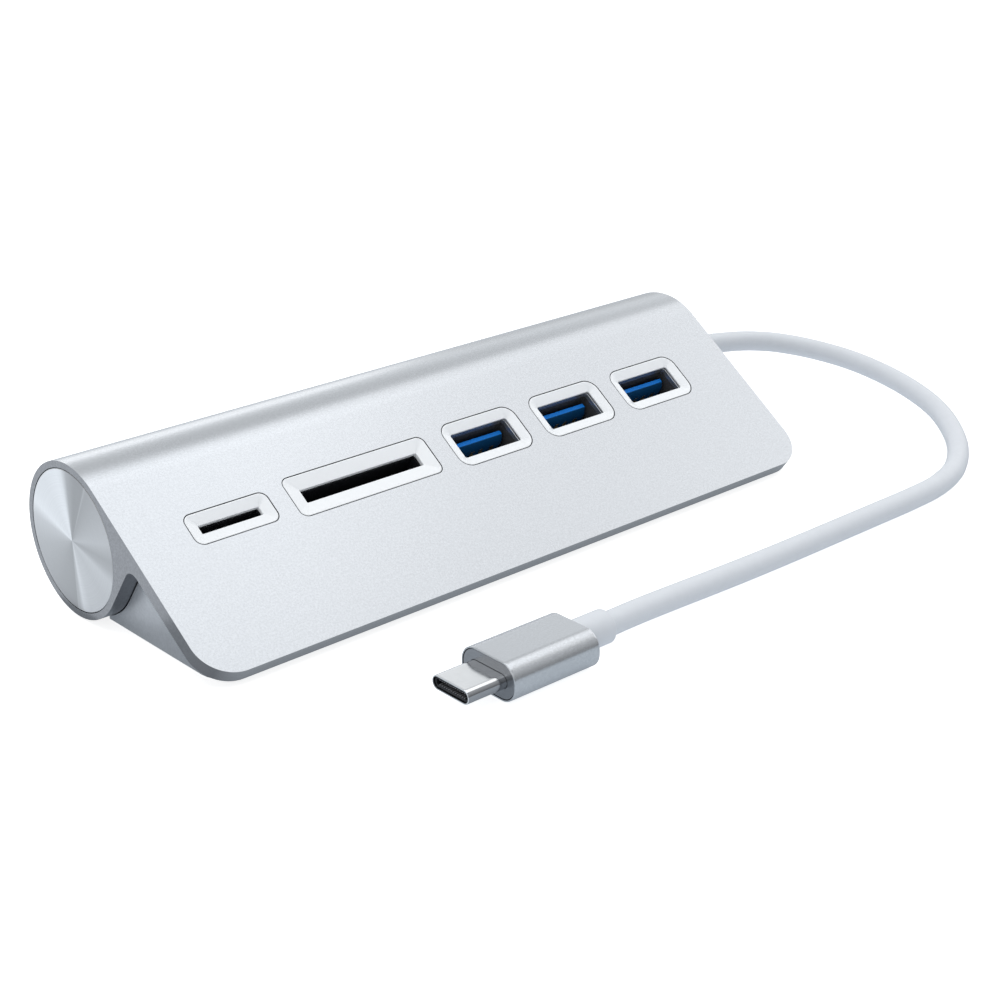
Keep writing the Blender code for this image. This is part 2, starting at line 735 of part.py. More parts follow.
def make_board():
    low = (BOARD_X[0], -BOARD_RUN[1], -BOARD_TOP - BOARD_THICKNESS)
    high = (BOARD_X[1], -BOARD_RUN[0], -BOARD_TOP)
    board = place("main_board", solid(add_box, low, high), "board_green", plate_frame())

    holes = bmesh.new()
    for x, run in POSTS:
        ring = [(x + a, -run + b) for a, b in circle(BOARD_HOLE_RADIUS, 12)]
        ends = (BOARD_TOP - GAP, BOARD_TOP + BOARD_THICKNESS + GAP)
        add_loft(holes, [level_ring(ring, depth) for depth in ends])
    change(board, "cut_board_holes", holes, "DIFFERENCE", plate_frame())


def make_board_screws():
    head_radius, head_height = BOARD_SCREW_HEAD
    head_top = BOARD_TOP + BOARD_THICKNESS + SEAM
    stages = [
        (BOARD_SCREW_RADIUS, BOARD_TOP - BOARD_SCREW_REACH),
        (BOARD_SCREW_RADIUS, head_top),
        (head_radius, head_top),
        (head_radius, head_top + head_height),
    ]
    rings = [level_ring(circle(radius, 12), depth) for radius, depth in stages]
    for number, (x, run) in enumerate(POSTS, 1):
        place(f"board_screw_{number}", solid(add_loft, rings), "steel", plate_frame(x, run))


def make_chips():
    chip_finish = {
        "cable_header": "white_cable",
        "crystal": "steel",
        "bulk_capacitor_1": "ceramic",
        "bulk_capacitor_2": "ceramic",
    }
    for name, values in CHIPS.items():
        x, run, size_x, size_run, height = (value * MM for value in values)
        base = -BOARD_TOP + SOLDER
        low = (x - size_x / 2, -run - size_run / 2, base)
        high = (x + size_x / 2, -run + size_run / 2, base + height)
        material = chip_finish.get(name, "black_plastic")
        place(name, solid(add_box, low, high), material, plate_frame())


# --- cable ------------------------------------------------------------------------------


def smooth_route(points, count):
    """Evenly spaced points on a smooth curve through the given ones (Catmull-Rom)."""
    nodes = [Vector(point) for point in points]
    ends = [2 * nodes[0] - nodes[1]] + nodes + [2 * nodes[-1] - nodes[-2]]
    dense = []
    for index in range(1, len(ends) - 2):
        before, start, end, after = ends[index - 1 : index + 3]
        for step in range(20):
            t = step / 20
            pull = (end - before) * t + (2 * before - 5 * start + 4 * end - after) * t**2
            twist = (3 * start - before - 3 * end + after) * t**3
            dense.append(start + (pull + twist) / 2)
    dense.append(nodes[-1])
    lengths = [0.0]
    for first, second in zip(dense, dense[1:]):
        lengths.append(lengths[-1] + (second - first).length)
    spaced = []
    index = 0
    for number in range(count):
        target = lengths[-1] * number / (count - 1)
        while index < len(dense) - 2 and lengths[index + 1] < target:
            index += 1
        share = (target - lengths[index]) / (lengths[index + 1] - lengths[index])
        spaced.append(dense[index].lerp(dense[index + 1], share))
    return spaced


def make_tube(name, line, radius, sides_level, material_name):
    """A curve object: a round tube along a line of points, with filled ends."""
    curve = bpy.data.curves.new(name, "CURVE")
    curve.dimensions = "3D"
    curve.bevel_depth = radius
    curve.bevel_resolution = sides_level
    curve.use_fill_caps = True
    spline = curve.splines.new("POLY")
    spline.points.add(len(line) - 1)
    for point, position in zip(spline.points, line):
        point.co = (*position, 1.0)
    curve.materials.append(finish(material_name))
    tube = bpy.data.objects.new(name, curve)
    bpy.context.collection.objects.link(tube)


def make_cable():
    route = [(x * MM, y * MM, z * MM) for x, y, z in CABLE_ROUTE]
    line = smooth_route(route, CABLE_POINTS)
    make_tube("cable", line, CABLE_RADIUS, 3, "white_cable")


def make_gland():
    centre = Matrix.Translation((LENGTH / 2, AXIS_Y, AXIS_Z))
    flange_radius, flange_thickness = GLAND_FLANGE
    flange_front = -CAP_THICKNESS - GAP
    nose = 0.7 * MM
    profile = [
        (flange_front - flange_thickness, flange_radius),
        (flange_front, flange_radius),
        (flange_front, GLAND_RADIUS),
        (GLAND_LENGTH - nose, GLAND_RADIUS),
        (GLAND_LENGTH - 0.3 * nose, GLAND_RADIUS - 0.25 * nose),
        (GLAND_LENGTH, GLAND_RADIUS - 0.8 * nose),
    ]
    place("cable_gland", solid(add_turned, profile, 24), "white_cable", centre)

    start = flange_front - flange_thickness - GAP
    chamfer = 0.3 * MM
    ferrule = [
        (start, FERRULE_RADIUS - chamfer),
        (start - chamfer, FERRULE_RADIUS),
        (start - FERRULE_LENGTH + chamfer, FERRULE_RADIUS),
        (start - FERRULE_LENGTH, FERRULE_RADIUS - chamfer),
    ]
    place("cable_ferrule", solid(add_turned, ferrule, 24), "steel", centre)
    return LENGTH / 2 + start - FERRULE_LENGTH


def make_cores(ferrule_end):
    """The cable's bundle of cores, from the ferrule up over the board to the header."""
    x, run, size_x, _, height = (value * MM for value in CHIPS["cable_header"])
    start = plate_point(ferrule_end - GAP, 0, TUBE_RADIUS)
    end = plate_point(x + size_x / 2 + GAP, run, BOARD_TOP - 0.7 * height)
    line = []
    for step in range(7):
        share = step / 6
        eased = start.lerp(end, share * share * (3 - 2 * share))
        line.append((start.lerp(end, share).x, eased.y, eased.z))
    make_tube("cable_cores", line, CORES_RADIUS, 2, "black_plastic")


# --- plug -------------------------------------------------------------------------------


def plug_ring(shape, x):
    return upright_ring(rounded_rectangle(*shape), x)


def make_plug_body():
    inner = inset(PLUG_BODY, PLUG_BODY_WALL)
    hole = (2 * PLUG_BACK_HOLE, 2 * PLUG_BACK_HOLE, PLUG_BACK_HOLE)
    rings = [
        plug_ring(PLUG_BODY, 0),
        plug_ring(PLUG_BODY, PLUG_BODY_LENGTH),
        plug_ring(hole, PLUG_BODY_LENGTH),
        plug_ring(hole, PLUG_BODY_LENGTH - PLUG_BACK_WALL),
        plug_ring(inner, PLUG_BODY_LENGTH - PLUG_BACK_WALL),
        plug_ring(inner, 0),
    ]
    body = solid(add_loft, rings, hollow=True)
    place("plug_body", body, "blasted_aluminium", plug_frame())

    face = inset(inner, 0.1 * MM)
    slot = inset(PLUG_TIP, -SEAM)
    front = PLUG_FACE_INSET
    back = front + PLUG_FACE_THICKNESS
    rings = [
        plug_ring(face, front),
        plug_ring(face, back),
        plug_ring(slot, back),
        plug_ring(slot, front),
    ]
    place("plug_face", solid(add_loft, rings, hollow=True), "steel", plug_frame())

    core = inset(inner, GAP)
    rings = [
        plug_ring(core, PLUG_TIP_ROOT + GAP),
        plug_ring(core, PLUG_BODY_LENGTH - PLUG_BACK_WALL - GAP),
    ]
    place("plug_overmould", solid(add_loft, rings), "white_cable", plug_frame())


def make_plug_tip():
    inner = inset(PLUG_TIP, PLUG_TIP_WALL)
    rings = [
        plug_ring(PLUG_TIP, -PLUG_TIP_REACH),
        plug_ring(PLUG_TIP, PLUG_TIP_ROOT),
        plug_ring(inner, PLUG_TIP_ROOT),
        plug_ring(inner, -PLUG_TIP_REACH),
    ]
    place("plug_tip_shell", solid(add_loft, rings, hollow=True), "steel", plug_frame())

    insert = inset(inner, 0.12 * MM)
    mouth = -PLUG_TIP_REACH + GAP
    cavity_end = -1.2 * MM
    rings = [
        plug_ring(insert, PLUG_TIP_ROOT - GAP),
        plug_ring(insert, mouth),
        plug_ring(PLUG_CAVITY, mouth),
        plug_ring(PLUG_CAVITY, cavity_end),
    ]
    place("plug_insert", solid(add_loft, rings), "black_plastic", plug_frame())

    middle = (PLUG_CONTACTS_PER_ROW - 1) / 2
    centres = [(row - middle) * PLUG_CONTACT_PITCH for row in range(PLUG_CONTACTS_PER_ROW)]
    back = cavity_end - GAP
    ends = (back, back - CONTACT_BAR, mouth + PLUG_CONTACT_SETBACK)
    outline = comb_outline(centres, PLUG_CONTACT_WIDTH, *ends)
    for name, side in (("plug_contacts_upper", 1), ("plug_contacts_lower", -1)):
        wall = side * (PLUG_CAVITY[1] / 2 - PLUG_CONTACT_CLEARANCE)
        rings = []
        for z in (wall, wall - side * PLUG_CONTACT_THICKNESS):
            rings.append([Vector((along, across, z)) for across, along in outline])
        place(name, solid(add_loft, rings), "gold", plug_frame())


def make_plug_collar():
    start = PLUG_BODY_LENGTH + SEAM
    end = PLUG_BODY_LENGTH + COLLAR_LENGTH
    nose = 0.7 * MM
    profile = [
        (PLUG_BODY_LENGTH - PLUG_BACK_WALL, COLLAR_NECK_RADIUS),
        (start, COLLAR_NECK_RADIUS),
        (start, COLLAR_RADIUS),
        (end - nose, COLLAR_RADIUS),
        (end - 0.3 * nose, COLLAR_RADIUS - 0.25 * nose),
        (end, COLLAR_RADIUS - 0.9 * nose),
    ]
    place("plug_collar", solid(add_turned, profile, 24), "white_cable", plug_frame())


# --- assembly ---------------------------------------------------------------------------


def main():
    clear_scene()
    make_housing()
    make_cover()
    make_cover_screws()
    make_feet()
    make_caps()
    for number, x in enumerate(USB_CENTRES, 1):
        make_usb_port(number, x)
    make_card_port("sd", SD_PORT, SD_SOCKET, SD_CENTRE)
    make_card_port("microsd", MICROSD_PORT, MICROSD_SOCKET, MICROSD_CENTRE)
    make_board()
    make_board_screws()
    make_chips()
    ferrule_end = make_gland()
    make_cores(ferrule_end)
    make_cable()
    make_plug_body()
    make_plug_tip()
    make_plug_collar()


main()
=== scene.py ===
"""Looks of a desktop USB hub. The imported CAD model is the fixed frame; lengths are in metres."""

import json
import math

import bmesh
import bpy
from mathutils import Euler, Matrix, Vector


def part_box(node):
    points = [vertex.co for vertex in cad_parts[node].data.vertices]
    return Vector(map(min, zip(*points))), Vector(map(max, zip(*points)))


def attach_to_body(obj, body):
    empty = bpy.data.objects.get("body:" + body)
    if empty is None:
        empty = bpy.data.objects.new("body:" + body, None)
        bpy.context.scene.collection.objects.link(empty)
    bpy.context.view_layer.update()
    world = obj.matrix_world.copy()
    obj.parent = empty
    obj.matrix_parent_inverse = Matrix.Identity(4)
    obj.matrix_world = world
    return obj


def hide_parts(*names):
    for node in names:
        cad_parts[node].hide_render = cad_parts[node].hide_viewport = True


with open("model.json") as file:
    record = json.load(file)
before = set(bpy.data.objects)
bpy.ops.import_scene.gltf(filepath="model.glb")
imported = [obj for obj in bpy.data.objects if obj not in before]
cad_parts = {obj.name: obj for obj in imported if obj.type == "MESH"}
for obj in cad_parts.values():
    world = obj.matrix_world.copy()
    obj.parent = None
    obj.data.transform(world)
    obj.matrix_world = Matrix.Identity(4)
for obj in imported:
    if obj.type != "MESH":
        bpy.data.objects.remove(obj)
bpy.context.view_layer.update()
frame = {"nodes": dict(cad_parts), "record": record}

MM = 0.001
ROOT = "root"

# The housing and the gaps round it, as in the CAD
LENGTH = 135.4 * MM
TUBE_RADIUS = 13.09 * MM
BORE_RADIUS = 11.96 * MM
TILT = math.radians(35.3)
PLATE_RUN = 36.72 * MM
PLATE_THICKNESS = 2.6 * MM
PLATE_CORNER = 6.5 * MM
WALL_FILLET = 2.2 * MM
PORT_RUN = 11.72 * MM
SEAM = 0.15 * MM
# The opening from the wedge under the plate into the tube, in the plate's frame
BAY_LOW = (-60 * MM, -15.6 * MM, -20 * MM)
BAY_HIGH = (60 * MM, -5.5 * MM, -PLATE_THICKNESS - 0.1 * MM)

# Looks only: these gaps are a little narrower than in the CAD
PORT_SEAM = 0.11 * MM
DISC_RADIUS = BORE_RADIUS - 0.1 * MM

# How many flats make each curve
FILLET_STEPS = 8
TUBE_STEPS = 135
BORE_STEPS = 160
CORNER_STEPS = 16
CAP_STEPS = 128
COLLAR_STEPS = 64
NOSE_STEPS = 8
SCREW_STEPS = 40
SPLINE_STEPS = 20

CAP_LOW, CAP_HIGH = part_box("left_end_cap")
AXIS_Y = (CAP_LOW[1] + CAP_HIGH[1]) / 2
AXIS_Z = (CAP_LOW[2] + CAP_HIGH[2]) / 2

# Port outlines: width, height and corner radius of the plate's cutout and of the opening.
# A lip is how deep the opening's rim reaches below the plate's surface.
USB_LIP = 0.75 * MM
CARD_LIP = 1.15 * MM
USB_CUTOUT = (17.0 * MM, 9.45 * MM, 2.5 * MM)
USB_OPENING = (13.0 * MM, 5.16 * MM, 0.4 * MM)
SD_CUTOUT = (30.0 * MM, 8.05 * MM, 1.5 * MM)
SD_OPENING = (24.55 * MM, 2.57 * MM, 0.15 * MM)
MICROSD_CUTOUT = (16.0 * MM, 6.05 * MM, 1.6 * MM)
MICROSD_OPENING = (11.56 * MM, 1.58 * MM, 0.12 * MM)
PORTS = {
    "usb_bezel_1": (USB_CUTOUT, USB_OPENING, USB_LIP),
    "usb_bezel_2": (USB_CUTOUT, USB_OPENING, USB_LIP),
    "usb_bezel_3": (USB_CUTOUT, USB_OPENING, USB_LIP),
    "sd_bezel": (SD_CUTOUT, SD_OPENING, CARD_LIP),
    "microsd_bezel": (MICROSD_CUTOUT, MICROSD_OPENING, CARD_LIP),
}

# A bezel reaches this deep, and its face sinks this far towards the opening
BEZEL_DEPTH = 3.2 * MM
BEZEL_DISH = 0.57 * MM

# USB sleeves and tongues: places across the port, and depths below the plate's surface
SLEEVE = (13.14 * MM, 5.76 * MM, 0.6 * MM)
SLEEVE_WALL = 0.32 * MM
SLEEVE_RIM = 1.0 * MM
USB_DEPTH = 12.3 * MM
TONGUE_HALF_WIDTH = 5.5 * MM
TONGUE_HALF_BASE = 2.41 * MM
TONGUE_TOP = 1.67 * MM
TONGUE_EDGE = 0.82 * MM
TONGUE_UNDER = 0.10 * MM
TONGUE_FRONT = 2.65 * MM
TONGUE_SLOPE_END = 3.90 * MM
TONGUE_ROOT = 9.4 * MM
PAD_PLACES = (-3.5 * MM, -1.0 * MM, 1.0 * MM, 3.5 * MM)
PAD_HALF_WIDTH = 0.5 * MM

# End caps
CAP_THICKNESS = 2 * MM
CAP_REACH = 6 * MM
CAP_INNER_RADIUS = 10.4 * MM
CABLE_HOLE_RADIUS = 3.05 * MM

# The cable's route, as in the CAD
CABLE_RADIUS = 2.05 * MM
CABLE_POINTS = 120
CABLE_ROUTE = [
    (0.0750, 0.01222, 0.01339),
    (0.0795, 0.01220, 0.01315),
    (0.0841, 0.01205, 0.01265),
    (0.0921, 0.01070, 0.01165),
    (0.0983, 0.00700, 0.01070),
    (0.1036, 0.00050, 0.00935),
    (0.1069, -0.00780, 0.00780),
    (0.1072, -0.01860, 0.00595),
    (0.1038, -0.02960, 0.00420),
    (0.0957, -0.03990, 0.00275),
    (0.0858, -0.04680, 0.00217),
    (0.0762, -0.05000, 0.00212),
    (0.0674, -0.05075, 0.00212),
    (0.0564, -0.05080, 0.00212),
    (0.0451, -0.05078, 0.00212),
    (0.0344, -0.05074, 0.00212),
    (0.0243, -0.05065, 0.00216),
    (0.0148, -0.05058, 0.00232),
    (0.0052, -0.05062, 0.00265),
    (-0.0030, -0.05085, 0.00302),
    (-0.0080, -0.05105, 0.00320),
    (-0.01195, -0.05118, 0.00325),
]

# The plug's frame: the middle of its body's front face, X towards the cable
PLUG_PLACE = (-36.45 * MM, -50.88 * MM, 3.25 * MM)
PLUG_YAW = math.radians(-0.7)
PLUG_BODY = (12.05 * MM, 6.43 * MM, 2.96 * MM)
PLUG_BODY_LENGTH = 17.2 * MM
PLUG_WALL = 0.27 * MM
PLUG_TIP = (8.25 * MM, 2.4 * MM, 1.19 * MM)
PLUG_TIP_WALL = 0.22 * MM
PLUG_TIP_REACH = 7.28 * MM
PLUG_TIP_ROOT = 4.0 * MM
PLUG_CAVITY = (6.9 * MM, 0.95 * MM, 0.2 * MM)
PLUG_END_WALL = 0.8 * MM
PLUG_END_HOLE = (4.6 * MM, 4.6 * MM, 2.3 * MM)
PLUG_FACE_DEPTH = 1.3 * MM
PLUG_SLOT_GAP = 0.07 * MM

# The ridges of contacts in the plug's mouth
RIDGES_IN_ROW = 12
RIDGE_PITCH = 0.5 * MM
RIDGE_PLACE = 0.42 * MM
RIDGE_HALF_WIDTH = 0.12 * MM
RIDGE_HALF_HEIGHT = 0.1 * MM
RIDGE_REACH = 3 * MM

# The plug's collar, and the gland where the cable leaves the hub
COLLAR_RADIUS = 2.83 * MM
COLLAR_NECK_RADIUS = 1.95 * MM
COLLAR_LENGTH = 7.0 * MM
GLAND_RADIUS = 2.75 * MM
GLAND_REACH = 7 * MM
GLAND_FLANGE_RADIUS = 4.5 * MM
GLAND_FLANGE_DEPTH = 2.3 * MM
GLAND_FLANGE_THICKNESS = 1.5 * MM

# Screws of the cover. A recess is given by its reach and width at the mouth and the bottom.
SCREW_SHANK_RADIUS = 0.9 * MM
RECESS_MOUTH = (2.1 * MM, 0.52 * MM)
RECESS_BOTTOM = (0.9 * MM, 0.32 * MM)
RECESS_DEPTH = 0.75 * MM

# CAD nodes that stay: how round their edges are, and how far the cover swells
EDGE_WIDTHS = {
    "bottom_cover": 0.03 * MM,
    "rear_foot": 0.12 * MM,
    "front_foot": 0.12 * MM,
    "sd_socket_body": 0.05 * MM,
    "microsd_socket_body": 0.05 * MM,
}
COVER_SWELL = 0.14 * MM

# The camera of the photo
CAMERA_PLACE = (-0.205852, -0.239121, 0.137376)
CAMERA_FACING = (0.62163411, 0.68104186, -0.38697936)
CAMERA_LENS = 69.718


# --- outlines and solids ------------------------


def rounded_rectangle(shape, steps=8):
    """Points round a rounded rectangle about the origin, anticlockwise."""
    width, height, radius = shape
    points = []
    for quarter in range(4):
        side_x = 1 if quarter in (0, 3) else -1
        side_y = 1 if quarter in (0, 1) else -1
        for step in range(steps + 1):
            angle = math.pi / 2 * (quarter + step / steps)
            x = side_x * (width / 2 - radius) + radius * math.cos(angle)
            y = side_y * (height / 2 - radius) + radius * math.sin(angle)
            points.append((x, y))
    return points


def inset(shape, amount):
    width, height, radius = shape
    return width - 2 * amount, height - 2 * amount, max(radius - amount, 0.05 * MM)


def circle(radius, steps):
    angles = [2 * math.pi * step / steps for step in range(steps)]
    return [(radius * math.cos(angle), radius * math.sin(angle)) for angle in angles]


def level_ring(outline, depth):
    return [Vector((x, y, -depth)) for x, y in outline]


def upright_ring(outline, x):
    return [Vector((x, y, z)) for y, z in outline]


def add_loft(bm, rings, hollow=False, slots=None):
    """Skin rings of equal length. slots gives the material slot of each band between them."""
    loops = [[bm.verts.new(point) for point in ring] for ring in rings]
    pairs = list(zip(loops, loops[1:]))
    if hollow:
        pairs.append((loops[-1], loops[0]))
    else:
        bm.faces.new(loops[0])
        bm.faces.new(loops[-1])
    for number, (first, second) in enumerate(pairs):
        for index in range(len(first)):
            after = (index + 1) % len(first)
            face = bm.faces.new((first[index], first[after], second[after], second[index]))
            if slots:
                face.material_index = slots[number]


def loft(rings, hollow=False, slots=None):
    bm = bmesh.new()
    add_loft(bm, rings, hollow, slots)
    return bm


def turned(profile, steps, hollow=False):
    """Turn a profile of (place along X, radius) points about the X axis."""
    return loft([upright_ring(circle(radius, steps), x) for x, radius in profile], hollow)


def box(low, high):
    outline = [(low[0], low[1]), (high[0], low[1]), (high[0], high[1]), (low[0], high[1])]
    return loft([level_ring(outline, -low[2]), level_ring(outline, -high[2])])


def copy_solid(source, target, slot):
    """Add a closed solid to another mesh, with its own material slot."""
    made = {vert: target.verts.new(vert.co) for vert in source.verts}
    for face in source.faces:
        copied = target.faces.new([made[vert] for vert in face.verts])
        copied.material_index = slot
    source.free()


def plate_point(x, run, depth):
    """A point given along the hub, down the plate and below the plate's surface."""
    y = AXIS_Y - (TUBE_RADIUS - depth) * math.sin(TILT) - run * math.cos(TILT)
    z = AXIS_Z + (TUBE_RADIUS - depth) * math.cos(TILT) - run * math.sin(TILT)
    return Vector((x, y, z))


def plate_frame(x=0.0, run=0.0):
    turn = Euler((TILT, 0, 0)).to_matrix().to_4x4()
    return Matrix.Translation(plate_point(x, run, 0)) @ turn


def plug_frame():
    turn = Euler((0, 0, PLUG_YAW)).to_matrix().to_4x4()
    return Matrix.Translation(PLUG_PLACE) @ turn


# --- pieces -------------------------------------


def new_object(name, bm, matrix=None):
    bmesh.ops.recalc_face_normals(bm, faces=bm.faces)
    mesh = bpy.data.meshes.new(name)
    bm.to_mesh(mesh)
    bm.free()
    made = bpy.data.objects.new(name, mesh)
    bpy.context.collection.objects.link(made)
    if matrix is not None:
        made.matrix_world = matrix
    return made


def soften(made, width, segments=3, angle=32, weighted=True):
    """Smooth shading with a real rounded edge wherever two faces meet at an angle. Without a
    width, the small rounding faces lean their normals and the large faces stay flat."""
    made.data.shade_smooth()
    made.data.set_sharp_from_angle(angle=math.radians(angle))
    if weighted and not width:
        lean = made.modifiers.new("lean", "WEIGHTED_NORMAL")
        lean.keep_sharp = True
    if width:
        bevel = made.modifiers.new("edges", "BEVEL")
        bevel.width = width
        bevel.segments = segments
        bevel.limit_method = "ANGLE"
        bevel.angle_limit = math.radians(angle)
        bevel.harden_normals = True
        bevel.use_clamp_overlap = True


def attach(made, slot, nodes, *materials):
    """Give a piece its materials, and let it stand for the CAD nodes on the hub's body."""
    for material in materials:
        made.data.materials.append(material)
    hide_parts(*nodes)
    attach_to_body(made, ROOT)
    return made


def carve(target, *solids):
    """Cut each solid out of the target, and keep the result as its mesh."""
    tools = []
    for bm in solids:
        tool = new_object("cutter", bm)
        tools.append(tool)
        modifier = target.modifiers.new("cut", "BOOLEAN")
        modifier.object = tool
        modifier.operation = "DIFFERENCE"
        modifier.solver = "EXACT"
    graph = bpy.context.evaluated_depsgraph_get()
    mesh = bpy.data.meshes.new_from_object(target.evaluated_get(graph))
    target.modifiers.clear()
    target.data = mesh
    for tool in tools:
        bpy.data.objects.remove(tool, do_unlink=True)
    bm = bmesh.new()
    bm.from_mesh(mesh)
    bmesh.ops.remove_doubles(bm, verts=bm.verts, dist=1e-6)
    bmesh.ops.dissolve_limit(bm, angle_limit=0.001, verts=bm.verts, edges=bm.edges)
    bm.to_mesh(mesh)
    bm.free()


# --- materials ----------------------------------


# Sockets of a Mix node that mixes colours
MIX_A = 6
MIX_B = 7
MIX_RESULT = 2


def colour_ramp(tree, factor, stops):
    """Colours along a ramp, each given with its position."""
    ramp = tree.nodes.new("ShaderNodeValToRGB")
    elements = ramp.color_ramp.elements
    while len(elements) < len(stops):
        elements.new(0.5)
    for element, (position, colour) in zip(elements, stops):
        element.position = position
        element.color = (*colour, 1.0)
    tree.links.new(factor, ramp.inputs["Fac"])
    return ramp.outputs["Color"]


class Surface:
    """A Principled material whose colour, roughness and relief come from procedural nodes."""

    def __init__(self, name, colour, roughness, metallic=0.0):
        self.material = bpy.data.materials.new(name)
        self.material.use_nodes = True
        self.material.diffuse_color = (*colour, 1.0)
        self.tree = self.material.node_tree
        self.shader = self.tree.nodes["Principled BSDF"]
        self.set("Base Color", (*colour, 1.0))
        self.set("Roughness", roughness)
        self.set("Metallic", metallic)
        self.colour = colour
        self.roughness = roughness
        self.place = self.node("ShaderNodeTexCoord").outputs["Object"]

    def set(self, socket, value):
        self.shader.inputs[socket].default_value = value

    def node(self, kind, **values):
        made = self.tree.nodes.new(kind)
        for key, value in values.items():
            setattr(made, key, value)
        return made

    def link(self, output, target):
        self.tree.links.new(output, target)

    def noise(self, size, detail=2.0, stretch=(1, 1, 1)):
        """Noise whose features are about this size, longer along axes stretched over 1."""
        mapping = self.node("ShaderNodeMapping")
        mapping.inputs["Scale"].default_value = [1 / value for value in stretch]
        self.link(self.place, mapping.inputs["Vector"])
        noise = self.node("ShaderNodeTexNoise")
        noise.inputs["Scale"].default_value = 1 / size
        noise.inputs["Detail"].default_value = detail
        self.link(mapping.outputs["Vector"], noise.inputs["Vector"])
        return noise.outputs["Fac"]

    def ramp(self, factor, stops):
        return colour_ramp(self.tree, factor, stops)

    def shade(self, factor, amount):
        """Vary the colour by this share of itself, darker to lighter."""
        low = [channel * (1 - amount) for channel in self.colour]
        high = [min(channel * (1 + amount), 1.0) for channel in self.colour]
        self.link(self.ramp(factor, [(0.3, low), (0.7, high)]), self.shader.inputs["Base Color"])

    def scuff(self, factor, amount):
        """Vary the roughness by this much either way."""
        spread = self.node("ShaderNodeMapRange")
        spread.inputs["From Min"].default_value = 0.3
        spread.inputs["From Max"].default_value = 0.7
        spread.inputs["To Min"].default_value = max(self.roughness - amount, 0.02)
        spread.inputs["To Max"].default_value = self.roughness + amount
        self.link(factor, spread.inputs["Value"])
        self.link(spread.outputs["Result"], self.shader.inputs["Roughness"])

    def relief(self, factor, height, strength):
        """Raise and lower the surface by up to this height, seen in its shading only."""
        bump = self.node("ShaderNodeBump")
        bump.inputs["Distance"].default_value = height
        bump.inputs["Strength"].default_value = strength
        self.link(factor, bump.inputs["Height"])
        self.link(bump.outputs["Normal"], self.shader.inputs["Normal"])


BLASTED_ROUGHNESS = 0.27


def blasted_grain(made):
    """The fine pits that bead blasting leaves."""
    made.relief(made.noise(0.45 * MM, 0.0), 0.0025 * MM, 0.8)


def blasted_aluminium(name, colour, speckle=0.045):
    made = Surface(name, colour, BLASTED_ROUGHNESS, 1.0)
    made.shade(made.noise(0.32 * MM, 1.0), speckle)
    blasted_grain(made)
    return made.material


def milled_edge():
    """The plate's milled edge, with painted light and shade: its tone rises round the front
    corners, towards the front, where the edge is painted lighter.
    """
    dark = (0.285, 0.285, 0.295)
    light = (0.53, 0.53, 0.54)
    made = Surface("edge_aluminium_painted_light", dark, BLASTED_ROUGHNESS, 1.0)
    down = made.node("ShaderNodeVectorMath", operation="DOT_PRODUCT")
    down.inputs[1].default_value = (0, -math.cos(TILT), -math.sin(TILT))
    made.link(made.place, down.inputs[0])
    front = PLATE_RUN - AXIS_Y * math.cos(TILT) - AXIS_Z * math.sin(TILT)
    share = made.node("ShaderNodeMapRange")
    share.inputs["From Min"].default_value = front - PLATE_CORNER
    share.inputs["From Max"].default_value = front
    made.link(down.outputs["Value"], share.inputs["Value"])
    tone = made.ramp(share.outputs["Result"], [(0.7, dark), (1.0, light)])
    made.link(tone, made.shader.inputs["Base Color"])
    blasted_grain(made)
    return made.material


# Clockwise angle in degrees from the top, as seen from the left end, and how light the painted
# reflection makes the sector there, from 0 for black to 1 for white
DISC_REFLECTION_TONES = [
    (-180, 0.667), (-150, 0.690), (-110, 0.745), (-84, 0.816), (-72, 0.933), (-58, 0.910),
    (-40, 0.902), (-16, 0.933), (-9, 0.910), (0, 0.706), (12, 0.643), (25, 0.643),
    (26.5, 0.737), (28.5, 0.675), (60, 0.745), (75, 0.773), (90, 0.690), (98, 0.714),
    (108, 0.808), (130, 0.784), (158, 0.808), (170, 0.871), (176, 0.745),
]
DISC_TINT = (0.975, 0.975, 0.985)
DISC_RING_WIDTH = 0.22 * MM


def from_axis(made, output, place):
    """A coordinate, measured from the tube's axis."""
    offset = made.node("ShaderNodeMath", operation="SUBTRACT")
    offset.inputs[1].default_value = place
    made.link(output, offset.inputs[0])
    return offset.outputs[0]


def painted_reflection_sectors(made, across, up):
    """A painted reflection: a fan of light and dark sectors round the tube's axis."""
    turn = made.node("ShaderNodeMath", operation="ARCTAN2")
    made.link(across, turn.inputs[0])
    made.link(up, turn.inputs[1])
    share = made.node("ShaderNodeMapRange")
    share.inputs["From Min"].default_value = math.pi
    share.inputs["From Max"].default_value = -math.pi
    made.link(turn.outputs[0], share.inputs["Value"])
    stops = []
    for degrees, tone in DISC_REFLECTION_TONES:
        light = min(((tone + 0.055) / 1.055) ** 2.4, 0.98)
        stops.append(((degrees + 180) / 360, [light * channel for channel in DISC_TINT]))
    return made.ramp(share.outputs["Result"], stops)


def disc_rings(made, across, up):
    """Fine rings round the tube's axis, a little darker and lighter by turns."""
    flat = made.node("ShaderNodeCombineXYZ")
    made.link(across, flat.inputs["X"])
    made.link(up, flat.inputs["Y"])
    radius = made.node("ShaderNodeVectorMath", operation="LENGTH")
    made.link(flat.outputs["Vector"], radius.inputs[0])
    rings = made.node("ShaderNodeTexNoise", noise_dimensions="1D")
    rings.inputs["Scale"].default_value = 1 / DISC_RING_WIDTH
    rings.inputs["Detail"].default_value = 1.0
    made.link(radius.outputs["Value"], rings.inputs["W"])
    return made.ramp(rings.outputs["Fac"], [(0.3, (0.955, 0.955, 0.955)), (0.7, (1, 1, 1))])


